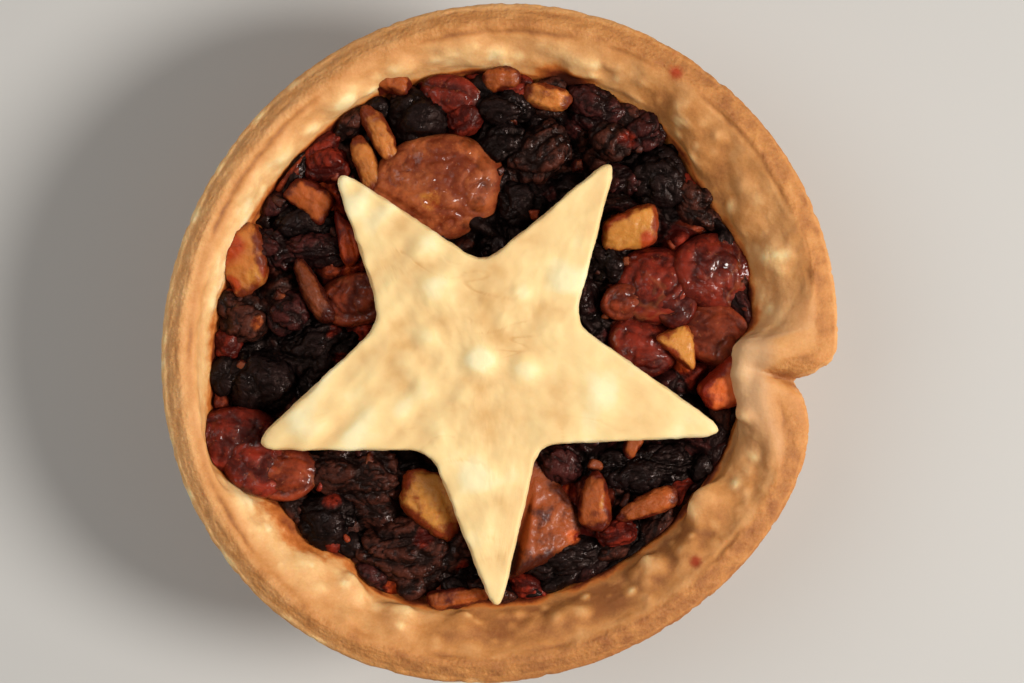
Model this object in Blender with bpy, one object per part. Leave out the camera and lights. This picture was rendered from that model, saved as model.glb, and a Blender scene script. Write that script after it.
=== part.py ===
"""An open mince pie: a pastry case with one pleat in its rim, fruit mincemeat and a pastry star.

Sizes are in millimetres and are brought to metres when each mesh is made. The pie stands on z = 0
with +Z up. Bearings are degrees from +X towards +Y, as seen from above.
"""

import math
from random import Random

import bmesh
import bpy
from mathutils import Vector, noise

MM = 0.001

# The pastry case
RIM_RADIUS = 32.1
RIM_HEIGHT = 20.8
RIM_WAVES = ((1, 0.40, 190.0), (2, 0.70, 49.0), (3, 0.20, -6.0))
PASTRY = 2.8
CUT_FACE_DROP = 0.9
EDGE_ROUND = 0.7
BASE_RADIUS = 24.6
BASE_CORNER = 3.2
FLOOR_HEIGHT = 3.0
FLOOR_RADIUS = 20.6
RIM_SWELL = 0.35

# The pleat, where spare pastry is folded into the rim; the bearings are degrees past its notch
PLEAT_BEARING = -7.3
PLEAT_DEPTH = 3.7
PLEAT_UPPER_SPAN = 6.5
PLEAT_LOWER_SPAN = 7.5
PLEAT_FOOT = 5.0
FOLD_LIP = 22.9
FOLD_DRIFT = (10.0, 20.0)
DRIFT_SHARE = 0.3
FOLD_ABOVE = (7.8, 10.8)
FOLD_BELOW = (-2.0, -21.0)
FOLD_SLUMP = 0.4
CREASE_FROM = (28.6, -3.9)
CREASE_TO = (23.6, -2.4)
CREASE_DEPTH = 1.5
CREASE_WIDTH = 0.55
PLEAT_CROWDING = 0.62

# The mincemeat
FILL_HEIGHT = 17.0
FILL_RADIUS = 25.9
FILL_WAVES = ((1, 1.9, 170.0), (2, 0.9, 50.0), (3, 0.4, -27.0))
# Where the pastry stands in further over the filling (or less far): bearing, half spread in degrees, depth
FILL_DENTS = (
    (228.0, 13.0, 1.7), (217.0, 6.0, 1.3), (235.0, 5.5, 1.0), (201.0, 7.5, -1.3), (84.0, 22.0, 1.0),
    (36.0, 10.0, 1.0), (357.0, 8.0, 1.8), (262.0, 14.0, 0.8),
)
FILL_DOME = 0.9
LUMP_HEIGHT = 1.3
LUMPS_PER_MM = 0.42
GAP = 0.35

# The pastry star: the bearing and the reach of each tip, then of each valley between two arms.
# The straight sides would meet a little beyond each tip, which is rounded off.
STAR_CENTRE = (-1.55, -2.05)
STAR_TIPS = ((58.0, 22.2), (127.5, 22.4), (199.5, 22.5), (272.8, 22.8), (344.1, 22.9))
STAR_VALLEYS = ((91.0, 9.5), (157.5, 10.5), (237.4, 9.6), (303.7, 9.1), (385.3, 9.3))
STAR_THICKNESS = 2.3
STAR_UNDERSIDE = 18.9
STAR_TIP_DROOP = 0.5
STAR_CLEARANCE = 0.4
TIP_OVERRUN = 1.6

# Swellings of the pastry's inner face: bearing, place from the filling (0) to the lip (1), radius, height.
# The last is the rounded end of the fold.
SWELLINGS = (
    (124.0, 0.45, 1.5, 0.8), (139.0, 0.55, 1.5, 0.7), (149.0, 0.70, 1.3, 0.5), (110.0, 0.50, 1.2, 0.6),
    (96.0, 0.55, 1.9, 0.7), (74.0, 0.50, 1.5, 0.5), (51.0, 0.65, 1.9, 0.6), (44.0, 0.30, 2.3, 0.8),
    (27.0, 0.45, 1.7, 0.6), (18.0, 0.55, 2.0, 0.5), (342.0, 0.75, 1.6, 0.35), (322.0, 0.15, 2.3, 1.2),
    (313.0, 0.55, 1.4, 0.7), (302.0, 0.40, 1.4, 0.5), (284.0, 0.50, 1.8, 0.5), (262.0, 0.40, 1.5, 0.6),
    (249.0, 0.35, 1.6, 0.8), (239.0, 0.30, 1.5, 0.7), (229.0, 0.45, 1.6, 0.6), (210.0, 0.50, 1.8, 0.4),
    (357.5, 0.90, 2.0, 1.1),
)

# The fruit that shows: x, y, length, width, bearing of the length. Each is made a little plumper than
# what shows of it, because its folds and its neighbours hide the rest.
PLUMPNESS = 1.14
RAISINS = (
    (-3.5, 21.5, 3.3, 3.0, 20), (0.0, 22.5, 5.6, 3.6, 0), (-0.2, 19.2, 5.0, 4.2, 30), (3.5, 18.3, 6.4, 5.8, 40),
    (9.1, 22.7, 5.6, 4.4, -20), (10.4, 19.4, 3.6, 4.0, 60), (13.6, 20.5, 4.8, 4.4, 10), (1.2, 13.7, 5.4, 4.8, -30),
    (18.4, 14.0, 3.0, 4.4, 80), (11.3, 15.6, 3.0, 5.0, 90), (9.8, 7.7, 3.6, 5.0, 80), (13.6, -12.0, 10.0, 5.2, 6),
    (5.4, -11.3, 4.0, 4.8, 70), (6.0, -20.6, 8.4, 4.2, 10), (-14.2, -12.8, 10.0, 6.2, -8),
    (-8.5, -20.2, 12.4, 7.4, 4), (-21.8, 8.9, 3.6, 7.0, 70), (-18.7, 11.5, 6.2, 3.6, 10),
    (-17.4, 8.9, 6.4, 3.2, -6), (-24.6, 2.4, 5.0, 4.6, 20), (-20.5, 2.9, 4.0, 4.0, 0),
    (-17.5, -0.7, 7.8, 6.0, 20), (-16.8, 16.9, 4.2, 3.8, 0), (11.0, -18.2, 3.6, 2.6, 15),
)
CURRANTS = (
    (-8.0, 21.5, 6.0, 5.8, 0), (15.1, 15.7, 5.2, 6.4, 70), (-16.9, -17.0, 5.6, 5.4, 0),
    (-23.1, -3.7, 6.0, 7.6, 100),
)
SULTANAS = (
    (-6.1, 15.0, 11.8, 9.4, 15), (-4.9, 23.8, 5.2, 3.4, -10), (20.4, 6.9, 6.6, 7.8, 100),
    (14.6, 5.5, 7.0, 6.8, 30), (16.5, 3.6, 3.8, 4.0, 0), (20.4, 0.9, 6.4, 5.4, -20), (13.5, -0.3, 6.2, 5.2, -30),
    (11.5, 3.9, 3.8, 3.2, 20), (-26.0, -9.2, 5.6, 8.2, 100), (-22.2, -11.3, 8.2, 6.0, -20),
    (-13.9, 4.1, 4.8, 7.2, 100),
)
APPLES = (
    (-10.4, 24.8, 3.6, 2.0, -10), (0.0, 25.2, 3.0, 2.2, 20), (4.4, 23.5, 4.6, 2.5, -20),
    (12.3, 10.9, 5.4, 3.8, 5), (17.1, 0.1, 3.2, 3.5, 50), (22.0, -4.2, 4.2, 3.8, 30), (4.5, -17.0, 9.6, 5.0, 75),
    (-6.7, -15.2, 6.6, 5.4, -20), (-24.6, 7.8, 6.0, 4.4, -60), (-18.3, 13.8, 4.6, 2.9, -30),
)
PEELS = (
    (-11.9, 19.9, 6.4, 1.8, -66), (-12.9, 17.4, 5.6, 1.8, -80), (12.5, -9.7, 2.8, 1.7, 60),
    (9.0, -15.1, 5.6, 3.0, 85), (13.9, -15.5, 6.2, 2.2, 22), (-4.0, -24.3, 6.4, 1.9, 10),
    (-18.1, 5.0, 7.2, 2.2, -60), (-14.6, 9.8, 2.0, 4.4, 10),
)

# How finely each solid is cut into faces
CASE_COLUMNS = 108
FILL_COLUMNS = 84
STAR_STEPS = 9


def ease(t):
    """0 to 1 with level ends, and held at 0 and 1 outside."""
    t = min(1.0, max(0.0, t))
    return t * t * (3 - 2 * t)


def turn_between(bearing, other):
    """The signed turn from other to bearing, from -180 to 180 degrees."""
    return (bearing - other + 180.0) % 360.0 - 180.0


def waves(bearing, radius, rows):
    """A nearly round outline: each row is a number of crests, their height and the bearing of one."""
    return radius + sum(size * math.cos(math.radians(count * (bearing - at))) for count, size, at in rows)


def pleat_notch(bearing):
    """How far the pleat draws the rim in: a round lobe above it and a long slope below."""
    past = turn_between(bearing, PLEAT_BEARING)
    if past > 0:
        return PLEAT_DEPTH * max(0.0, 1 - past / PLEAT_UPPER_SPAN) ** 2
    return PLEAT_DEPTH * math.exp(past / PLEAT_LOWER_SPAN)


def rim_radius(bearing):
    return waves(bearing, RIM_RADIUS, RIM_WAVES) - pleat_notch(bearing)


def outer_radius(bearing, height):
    """The outside of the case: a straight flared wall, with the pleat fading out towards the base."""
    share = height / (RIM_HEIGHT - CUT_FACE_DROP)
    unfolded = waves(bearing, RIM_RADIUS, RIM_WAVES)
    wall = BASE_RADIUS + (unfolded - BASE_RADIUS) * share
    return wall - pleat_notch(bearing) * ease((height - PLEAT_FOOT) / (RIM_HEIGHT - PLEAT_FOOT))


def fill_radius(bearing):
    dents = sum(
        depth * math.exp(-((turn_between(bearing, middle) / spread) ** 2)) for middle, spread, depth in FILL_DENTS
    )
    return waves(bearing, FILL_RADIUS, FILL_WAVES) - dents


def fold_share(bearing):
    """1 where the fold carries the lip in. Above the notch the lip drifts in and then turns sharply, and
    below it fades slowly."""
    past = turn_between(bearing, PLEAT_BEARING)
    drift = ease((FOLD_DRIFT[1] - past) / (FOLD_DRIFT[1] - FOLD_DRIFT[0]))
    sharp = ease((FOLD_ABOVE[1] - past) / (FOLD_ABOVE[1] - FOLD_ABOVE[0]))
    below = ease((past - FOLD_BELOW[1]) / (FOLD_BELOW[0] - FOLD_BELOW[1]))
    return (DRIFT_SHARE * drift + (1 - DRIFT_SHARE) * sharp) * below


def fold_slump(bearing):
    """How far the pastry slumps where the lip runs aslant into the fold."""
    share = fold_share(bearing)
    return FOLD_SLUMP * 4 * share * (1 - share) if turn_between(bearing, PLEAT_BEARING) > 0 else 0.0


def lip_radius(bearing):
    """The inner corner of the cut face, which the fold carries well in towards the filling."""
    share = fold_share(bearing)
    return (rim_radius(bearing) - PASTRY) * (1 - share) + FOLD_LIP * share


def rim_height(bearing):
    """The rim isn't quite level."""
    return RIM_HEIGHT + RIM_SWELL * (
        math.sin(math.radians(2 * bearing + 40)) + 0.6 * math.sin(math.radians(5 * bearing))
    ) / 1.6


def inner_radius(bearing, height):
    """The bare inside face of the case, before its swellings."""
    if height <= FILL_HEIGHT:
        up = (height - FLOOR_HEIGHT) / (FILL_HEIGHT - FLOOR_HEIGHT)
        return FLOOR_RADIUS + (fill_radius(bearing) - FLOOR_RADIUS) * max(0.0, up)
    up = min(1.0, (height - FILL_HEIGHT) / (rim_height(bearing) - FILL_HEIGHT))
    return fill_radius(bearing) + (lip_radius(bearing) - fill_radius(bearing)) * up


def at(bearing, radius, height):
    turn = math.radians(bearing)
    return Vector((radius * math.cos(turn), radius * math.sin(turn), height))


def swelling_centres():
    """The middle of each swelling on the inside face, with its radius and height."""
    found = []
    for bearing, place, size, height in SWELLINGS:
        level = FILL_HEIGHT + place * (RIM_HEIGHT - FILL_HEIGHT)
        found.append((at(bearing, inner_radius(bearing, level), level), size, height))
    return found


SWELLING_CENTRES = swelling_centres()


def swelling(point):
    """How far the pastry stands out at a point, towards the filling and up."""
    return sum(
        height * math.exp(-((point - centre).length / size) ** 2)
        for centre, size, height in SWELLING_CENTRES
        if (point - centre).length < 3 * size
    )


def crease(point):
    """The depth of the groove between the two lobes of the pleat."""
    start, end = Vector((*CREASE_FROM, 0.0)), Vector((*CREASE_TO, 0.0))
    along = end - start
    flat = Vector((point.x, point.y, 0.0))
    share = min(1.0, max(0.0, (flat - start).dot(along) / along.length_squared))
    aside = (flat - start - along * share).length
    return CREASE_DEPTH * (1 - 0.8 * share) * math.exp(-((aside / CREASE_WIDTH) ** 2))


def case_section(bearing):
    """One cut through the case, from the middle of its floor over the rim to the middle of its base."""
    top = rim_height(bearing)
    fill, lip, rim = fill_radius(bearing), lip_radius(bearing), rim_radius(bearing)
    inside = [(0.0, FLOOR_HEIGHT), (FLOOR_RADIUS - 1.5, FLOOR_HEIGHT)]
    inside += [(inner_radius(bearing, level), level) for level in (FLOOR_HEIGHT + 1.2, 0.6 * FILL_HEIGHT)]
    wall = [(fill + (lip - fill) * share, FILL_HEIGHT + (top - FILL_HEIGHT) * share)
            for share in (0.0, 0.2, 0.4, 0.6, 0.78)]
    fold, slump = fold_share(bearing), fold_slump(bearing)
    crest = [(lip - 0.15, top - 0.45 - 0.75 * fold - slump)]
    crest += [(lip + 0.35 + 0.2 * fold, top - 0.05 - 0.5 * fold - slump)]
    crest += [(lip + 0.75 + 0.9 * fold, top - 0.08 * fold - 0.4 * slump)]
    face = [(rim - 0.75, top - CUT_FACE_DROP * 0.75), (rim - 0.3, top - CUT_FACE_DROP)]
    edge = [(rim - 0.05, top - CUT_FACE_DROP - 0.3), (rim, top - CUT_FACE_DROP - EDGE_ROUND)]
    outside = [(outer_radius(bearing, level), level) for level in (16.0, 11.5, 7.0, BASE_CORNER)]
    corner = [(BASE_RADIUS + 0.2 - BASE_CORNER * 0.3, BASE_CORNER * 0.3), (BASE_RADIUS - BASE_CORNER * 0.75, 0.0)]
    return inside + wall + crest + face + edge + outside + corner + [(BASE_RADIUS * 0.84, 0.0), (0.0, 0.0)]


def pleated_bearing(turn):
    """Bearings that crowd together at the pleat; turn runs from 0 to 1."""
    return PLEAT_BEARING + 360.0 * turn - math.degrees(PLEAT_CROWDING * math.sin(2 * math.pi * turn))


def case_point(bearing, radius, height):
    """A point of a section, with the swellings of the inner face and the crease of the pleat."""
    point = at(bearing, radius, height)
    if height > FILL_HEIGHT + 0.3 and radius < lip_radius(bearing) + 1.0:
        out = swelling(point)
        point = at(bearing, radius - 0.75 * out, min(height + 0.5 * out, rim_height(bearing) + 0.25))
    if height > RIM_HEIGHT - 3.0:
        point.z -= crease(point)
    return point


def filling_top(x, y):
    """The height of the mincemeat between the fruit: low at the pastry, higher in the middle, and lumpy."""
    bearing = math.degrees(math.atan2(y, x))
    share = min(1.0, math.hypot(x, y) / (fill_radius(bearing) - GAP))
    lumps = noise.noise(Vector((x, y, 0.0)) * LUMPS_PER_MM) * LUMP_HEIGHT
    return FILL_HEIGHT - 0.3 + FILL_DOME * (1 - share**3) + lumps * (1 - share**4)


def fill_section(bearing):
    """One cut through the filling, from the middle of its underside round to the middle of its top."""
    bottom = FLOOR_HEIGHT + GAP
    side = [(inner_radius(bearing, level) - GAP - 0.1, level) for level in (bottom + 1.2, 9.6, FILL_HEIGHT - 1.2)]
    edge = inner_radius(bearing, FILL_HEIGHT - 0.4) - GAP - 0.2
    top = [(edge * share, None) for share in (1.0, 0.88, 0.74, 0.6, 0.46, 0.32, 0.16, 0.0)]
    return [(0.0, bottom), (FLOOR_RADIUS - 2.4, bottom)] + side + top


def fill_point(bearing, radius, height):
    point = at(bearing, radius, 0.0)
    point.z = filling_top(point.x, point.y) if height is None else height
    return point


def blend_max(a, b, width):
    """The larger of two values, rounded over where they meet."""
    near = max(0.0, 1 - abs(a - b) / width)
    return max(a, b) + near * near * width / 4


def star_corner(bearing, reach):
    turn = math.radians(bearing)
    return Vector((math.cos(turn), math.sin(turn))) * reach


def side_reach(bearing, tip, valley):
    """How far a ray runs from the star's middle before it meets the straight side from valley to tip."""
    ray = star_corner(bearing, 1.0)
    start, end = star_corner(*valley), star_corner(tip[0], tip[1] + TIP_OVERRUN)
    side = end - start
    across = ray.x * side.y - ray.y * side.x
    return (start.x * side.y - start.y * side.x) / across if abs(across) > 1e-9 else end.length


def star_reach(bearing):
    """The star's outline from its middle: straight sides, rounded valleys and blunt tips."""
    arm = min(range(5), key=lambda k: abs(turn_between(bearing, STAR_TIPS[k][0])))
    tip = STAR_TIPS[arm]
    after, before = STAR_VALLEYS[arm], STAR_VALLEYS[arm - 1]
    past = turn_between(bearing, tip[0]) > 0
    own = side_reach(bearing, tip, after if past else before)
    next_arm = STAR_TIPS[(arm + 1) % 5] if past else STAR_TIPS[arm - 1]
    other = side_reach(bearing, next_arm, after if past else before)
    reach = blend_max(own, other, 2.4) if other > 0 else own
    return -blend_max(-reach, -tip[1], 0.8)


def star_bearings():
    """Bearings packed towards the tips, where the outline runs almost along the ray."""
    found = []
    for k in range(5):
        tip, after = STAR_TIPS[k][0], STAR_VALLEYS[k][0]
        following = STAR_TIPS[(k + 1) % 5][0] + (360.0 if STAR_TIPS[(k + 1) % 5][0] < after else 0.0)
        found += [tip + (after - tip) * (n / STAR_STEPS) ** 1.6 for n in range(STAR_STEPS)]
        found += [following - (following - after) * (n / STAR_STEPS) ** 1.6 for n in range(STAR_STEPS, 0, -1)]
    return found


def star_sag(x, y):
    """The star's lie on the fruit: its tips droop and it swells a little between them."""
    along = math.hypot(x - STAR_CENTRE[0], y - STAR_CENTRE[1])
    swell = 0.35 * noise.noise(Vector((x * 0.16, y * 0.16, 3.0)))
    return STAR_UNDERSIDE - STAR_TIP_DROOP * (along / 22.5) ** 2 + swell


def star_point(bearing, share, lift):
    """share runs from the star's middle (0) to its side (1), and lift from its underside (0) to its top (1)."""
    flat = at(bearing, star_reach(bearing) * share, 0.0)
    x, y = flat.x + STAR_CENTRE[0], flat.y + STAR_CENTRE[1]
    return Vector((x, y, star_sag(x, y) + STAR_THICKNESS * lift))


STAR_SECTION = (
    (0.0, 0.0), (0.35, 0.0), (0.7, 0.0), (0.975, 0.04), (1.0, 0.25), (0.995, 0.75), (0.965, 0.96),
    (0.85, 1.0), (0.65, 1.0), (0.45, 1.0), (0.22, 1.0), (0.0, 1.0),
)


def star_limit(x, y):
    """The highest that fruit may stand: under the star below its pastry, and rising away from it."""
    dx, dy = x - STAR_CENTRE[0], y - STAR_CENTRE[1]
    beyond = math.hypot(dx, dy) - star_reach(math.degrees(math.atan2(dy, dx)))
    return star_sag(x, y) - STAR_CLEARANCE + max(0.0, beyond - 1.2) * 0.8


def held_inside(point, spare):
    """Moves a point of a piece of fruit clear of the pastry case and of the star, with a little room to spare."""
    bearing, radius = math.degrees(math.atan2(point.y, point.x)), math.hypot(point.x, point.y)
    height = min(point.z, star_limit(point.x, point.y) - spare)
    wall = inner_radius(bearing, height)
    room = wall - 0.9 * swelling(at(bearing, wall, height)) - 2 * GAP - spare
    return at(bearing, min(radius, room), height)


def clear_scene():
    for obj in list(bpy.data.objects):
        bpy.data.objects.remove(obj)


def collection(name):
    made = bpy.data.collections.new(name)
    bpy.context.scene.collection.children.link(made)
    return made


def material(name, colour, roughness):
    made = bpy.data.materials.new(name)
    made.use_nodes = True
    shader = made.node_tree.nodes["Principled BSDF"]
    shader.inputs["Base Color"].default_value = (*colour, 1.0)
    shader.inputs["Roughness"].default_value = roughness
    shader.inputs["Metallic"].default_value = 0.0
    return made


def add_mesh(name, shape, group):
    """Turns a bmesh in millimetres into a named object in metres, in triangles that point out."""
    bmesh.ops.triangulate(shape, faces=shape.faces, quad_method="FIXED")
    bmesh.ops.recalc_face_normals(shape, faces=shape.faces)
    bmesh.ops.scale(shape, vec=(MM, MM, MM), verts=shape.verts)
    mesh = bpy.data.meshes.new(name)
    shape.to_mesh(mesh)
    shape.free()
    obj = bpy.data.objects.new(name, mesh)
    group.objects.link(obj)
    return obj


def wrapped_grid(columns, rows, place):
    """A grid bent round into a closed body: place(column, row) gives each point, and both ends are poles."""
    shape = bmesh.new()
    bmesh.ops.create_grid(shape, x_segments=columns, y_segments=rows - 1, size=1.0)
    for vert in shape.verts:
        column = round((vert.co.x + 1) / 2 * columns) % columns
        row = round((vert.co.y + 1) / 2 * (rows - 1))
        vert.co = place(column, row)
    bmesh.ops.remove_doubles(shape, verts=shape.verts, dist=0.0005)
    return shape


def turned_body(name, bearings, section, point, group):
    """A body lofted through one section at each bearing."""
    sections = [section(bearing) for bearing in bearings]
    shape = wrapped_grid(
        len(bearings), len(sections[0]), lambda column, row: point(bearings[column], *sections[column][row])
    )
    return add_mesh(name, shape, group)


def wrinkled(point, seed):
    """A dried fruit's skin: a unit sphere pinched into a few long folds."""
    offset = Vector((seed * 3.7, seed * 1.3, seed * 5.1))
    fold = noise.noise(point * 1.9 + offset) * 0.22 + noise.noise(point * 4.0 + offset) * 0.10
    return point * (1 + fold)


def chunky(point, seed):
    """A cut cube of cooked apple or peel, its corners eased and its faces a little out of true."""
    soft = point.lerp(point.normalized() * 1.15, 0.55)
    return soft + Vector([noise.noise(point + Vector((seed, axis * 7.0, 0.0))) * 0.2 for axis in range(3)])


def placed(point, row, thickness, level):
    """Brings a unit shape to a row's size, bearing and place, lying at a level in the mincemeat."""
    x, y, length, width, bearing = row
    turn = math.radians(bearing)
    along, across = point.x * PLUMPNESS * length / 2, point.y * PLUMPNESS * width / 2
    return Vector((
        x + along * math.cos(turn) - across * math.sin(turn),
        y + along * math.sin(turn) + across * math.cos(turn),
        level + point.z * thickness / 2,
    ))


def add_fruit(name, rows, skin, flatness, height, group, seed):
    """One small closed body for each row; a round fruit starts as an icosphere and a cut one as a cube."""
    draw = Random(seed)
    for n, row in enumerate(rows):
        shape = bmesh.new()
        if skin is wrinkled:
            bmesh.ops.create_icosphere(shape, subdivisions=2, radius=1.0)
        else:
            bmesh.ops.create_cube(shape, size=2.0)
            bmesh.ops.subdivide_edges(shape, edges=shape.edges, cuts=1, use_grid_fill=True)
        thickness = max(2.2, flatness * math.sqrt(row[2] * row[3]))
        top = FILL_HEIGHT + height + draw.uniform(-0.3, 0.3)
        level = min(top, star_limit(row[0], row[1])) - thickness / 2
        spare = draw.uniform(0.0, 0.4)
        for vert in shape.verts:
            vert.co = held_inside(placed(skin(vert.co, seed + n), row, thickness, level), spare)
        add_mesh(f"{name}_{n}", shape, group)


def islands(shape):
    """The faces of a bmesh, grouped into the pieces that hang together."""
    left, found = set(shape.faces), []
    while left:
        island, edge_of_search = set(), [left.pop()]
        while edge_of_search:
            face = edge_of_search.pop()
            island.add(face)
            near = {other for edge in face.edges for other in edge.link_faces} & left
            left -= near
            edge_of_search.extend(near)
        found.append(island)
    return found


def keep_largest(mesh):
    """Drops loose scraps, and fills sealed hollows by dropping the shells that line them."""
    shape = bmesh.new()
    shape.from_mesh(mesh)
    found = sorted(islands(shape), key=lambda island: sum(face.calc_area() for face in island))
    spare = [face for island in found[:-1] for face in island]
    bmesh.ops.delete(shape, geom=spare, context="FACES")
    bmesh.ops.triangulate(shape, faces=shape.faces)
    shape.to_mesh(mesh)
    shape.free()


def fuse(body, group):
    """Joins everything in a collection onto a body with one Boolean, then removes the collection's objects."""
    joint = body.modifiers.new("fruit", "BOOLEAN")
    joint.operation = "UNION"
    joint.operand_type = "COLLECTION"
    joint.collection = group
    joint.solver = "MANIFOLD"
    graph = bpy.context.evaluated_depsgraph_get()
    joined = bpy.data.meshes.new_from_object(body.evaluated_get(graph))
    body.modifiers.remove(joint)
    body.data = joined
    keep_largest(joined)
    for obj in list(group.objects):
        bpy.data.objects.remove(obj)
    bpy.data.collections.remove(group)


def finish(obj, finish_material):
    obj.data.materials.clear()
    obj.data.materials.append(finish_material)
    obj.data.shade_smooth()
    obj.data.set_sharp_from_angle(angle=math.radians(50))


def build_case(group):
    bearings = [pleated_bearing(n / CASE_COLUMNS) for n in range(CASE_COLUMNS)]
    case = turned_body("pastry_case", bearings, case_section, case_point, group)
    finish(case, material("baked_pastry", (0.62, 0.34, 0.14), 0.6))


def build_filling(group):
    bearings = [360.0 * n / FILL_COLUMNS for n in range(FILL_COLUMNS)]
    filling = turned_body("mincemeat", bearings, fill_section, fill_point, group)
    fruit = collection("fruit_to_fuse")
    add_fruit("raisin", RAISINS, wrinkled, 0.80, 1.3, fruit, 11)
    add_fruit("currant", CURRANTS, wrinkled, 0.85, 1.7, fruit, 23)
    add_fruit("sultana", SULTANAS, wrinkled, 0.62, 1.4, fruit, 37)
    add_fruit("apple", APPLES, chunky, 0.75, 1.2, fruit, 53)
    add_fruit("peel", PEELS, chunky, 0.70, 1.3, fruit, 71)
    fuse(filling, fruit)
    finish(filling, material("fruit_mincemeat", (0.045, 0.013, 0.007), 0.3))


def build_star(group):
    star = turned_body("pastry_star", star_bearings(), lambda bearing: STAR_SECTION, star_point, group)
    finish(star, material("pale_pastry", (0.82, 0.58, 0.28), 0.55))


def main():
    clear_scene()
    pie = collection("mince_pie")
    build_case(pie)
    build_filling(pie)
    build_star(pie)


main()
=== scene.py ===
"""The looks of an open mince pie: baked pastry case, fruit mincemeat and a pale pastry star.

Shapes are worked out in millimetres, in arrays of points, and brought to metres when a mesh is made.
Bearings are degrees from +X towards +Y, as seen from above. The driving sizes are the part's own.
"""

import math
from functools import cache
from itertools import product
from types import SimpleNamespace

import bmesh
import bpy
import numpy as np
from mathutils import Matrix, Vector
from mathutils.kdtree import KDTree


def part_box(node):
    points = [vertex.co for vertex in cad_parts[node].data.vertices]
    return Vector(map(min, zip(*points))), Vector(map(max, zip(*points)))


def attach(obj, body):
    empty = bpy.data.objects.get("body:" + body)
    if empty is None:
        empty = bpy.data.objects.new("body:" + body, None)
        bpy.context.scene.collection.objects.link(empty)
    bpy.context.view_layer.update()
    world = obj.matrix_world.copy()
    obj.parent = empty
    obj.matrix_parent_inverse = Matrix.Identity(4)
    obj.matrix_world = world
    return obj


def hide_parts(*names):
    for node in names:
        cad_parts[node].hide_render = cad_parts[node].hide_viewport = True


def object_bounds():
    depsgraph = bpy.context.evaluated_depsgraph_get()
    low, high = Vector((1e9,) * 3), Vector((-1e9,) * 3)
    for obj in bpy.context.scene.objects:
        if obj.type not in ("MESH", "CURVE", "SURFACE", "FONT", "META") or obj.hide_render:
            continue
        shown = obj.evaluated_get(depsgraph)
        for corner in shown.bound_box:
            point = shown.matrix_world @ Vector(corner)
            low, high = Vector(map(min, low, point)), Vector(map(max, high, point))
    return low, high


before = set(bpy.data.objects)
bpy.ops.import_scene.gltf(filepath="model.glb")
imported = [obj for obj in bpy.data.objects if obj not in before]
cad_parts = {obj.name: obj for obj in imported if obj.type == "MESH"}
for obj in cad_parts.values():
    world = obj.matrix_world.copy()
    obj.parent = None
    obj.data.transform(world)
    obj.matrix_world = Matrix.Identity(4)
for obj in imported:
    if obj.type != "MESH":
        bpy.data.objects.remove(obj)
CAD_BOX = [list(corner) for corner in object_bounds()]

MM = 0.001
CEILING = CAD_BOX[1][2] / MM - 0.02

# The pastry case
RIM_RADIUS = 32.1
RIM_HEIGHT = 20.8
RIM_WAVES = ((1, 0.40, 190.0), (2, 0.70, 49.0), (3, 0.20, -6.0))
PASTRY = 2.8
CUT_FACE_DROP = 0.9
EDGE_ROUND = 0.7
BASE_RADIUS = 24.6
BASE_CORNER = 3.2
FLOOR_HEIGHT = 3.0
FLOOR_RADIUS = 20.6
RIM_SWELL = 0.35
# Distances in from the cut edge over which the crumbly band starts and ends, and of the ridge at its end
BAND_START = (0.45, 0.95)
BAND_END = (3.0, 2.2)
RIDGE_PLACE = 2.85
RIDGE_WIDTH = 0.25
# How many rows of points just below the lip count as part of the cut face too
ROWS_BELOW_LIP = 12

# The pleat, where spare pastry is folded into the rim; its stretches are in degrees past the notch
PLEAT_BEARING = -7.3
PLEAT_DEPTH = 3.7
PLEAT_UPPER_SPAN = 6.5
PLEAT_LOWER_SPAN = 7.5
PLEAT_FOOT = 5.0
PLEAT_CROWDING = 0.62
FOLD_LIP = 22.9
FOLD_DRIFT = (10.0, 20.0)
DRIFT_SHARE = 0.3
FOLD_ABOVE = (7.8, 10.8)
FOLD_BELOW = (-2.0, -21.0)
FOLD_SLUMP = 0.4
# The fold's rounded end, and how far its smoothing reaches
FOLD_MIDDLE = (25.6, 0.8, 20.0)
FOLD_REACH = 3.0
FOLD_SMOOTHINGS = 90
# The middle line of the folded-in strip, which is domed across
TONGUE_FROM = (29.6, -1.6)
TONGUE_TO = (24.2, -0.4)
TONGUE_RISE = 0.75
TONGUE_WIDTH = 1.5
CREASE_FROM = (28.6, -3.9)
CREASE_TO = (23.6, -2.4)
CREASE_DEPTH = 1.5
CREASE_WIDTH = 0.55

# The mincemeat
FILL_HEIGHT = 17.0
FILL_RADIUS = 25.9
FILL_WAVES = ((1, 1.9, 170.0), (2, 0.9, 50.0), (3, 0.4, -27.0))
# Where the pastry stands in further over the filling (or less far): bearing, half spread in degrees, depth
FILL_DENTS = (
    (228.0, 13.0, 1.7), (217.0, 6.0, 1.3), (235.0, 5.5, 1.0), (201.0, 7.5, -1.3), (84.0, 22.0, 1.0),
    (36.0, 10.0, 1.0), (357.0, 8.0, 1.8), (262.0, 14.0, 0.8),
)
FILL_DOME = 0.9
FILL_EDGE_RISE = 0.55
# How far the squashed fruit lies below the level of the whole fruit, and the gap between fruit and pastry
PULP_DROP = 0.75
GAP = 0.35
# Whole fruit keeps this far from the wall, and clear of this share of its swellings
FRUIT_GAP = 0.1
SWELLING_ROOM = 0.8
HEAP = 1.35

# The pastry star: the bearing and the reach of each tip, then of each valley between two arms.
# The straight sides would meet a little beyond each tip, which is rounded off.
STAR_CENTRE = (-1.55, -2.05)
STAR_TIPS = ((58.0, 22.2), (127.5, 22.4), (199.5, 22.5), (272.8, 22.8), (344.1, 22.9))
STAR_VALLEYS = ((91.0, 9.5), (157.5, 10.5), (237.4, 9.6), (303.7, 9.1), (385.3, 9.3))
STAR_THICKNESS = 2.3
STAR_UNDERSIDE = 18.9
STAR_REACH = 22.5
STAR_TIP_DROOP = 0.5
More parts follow.
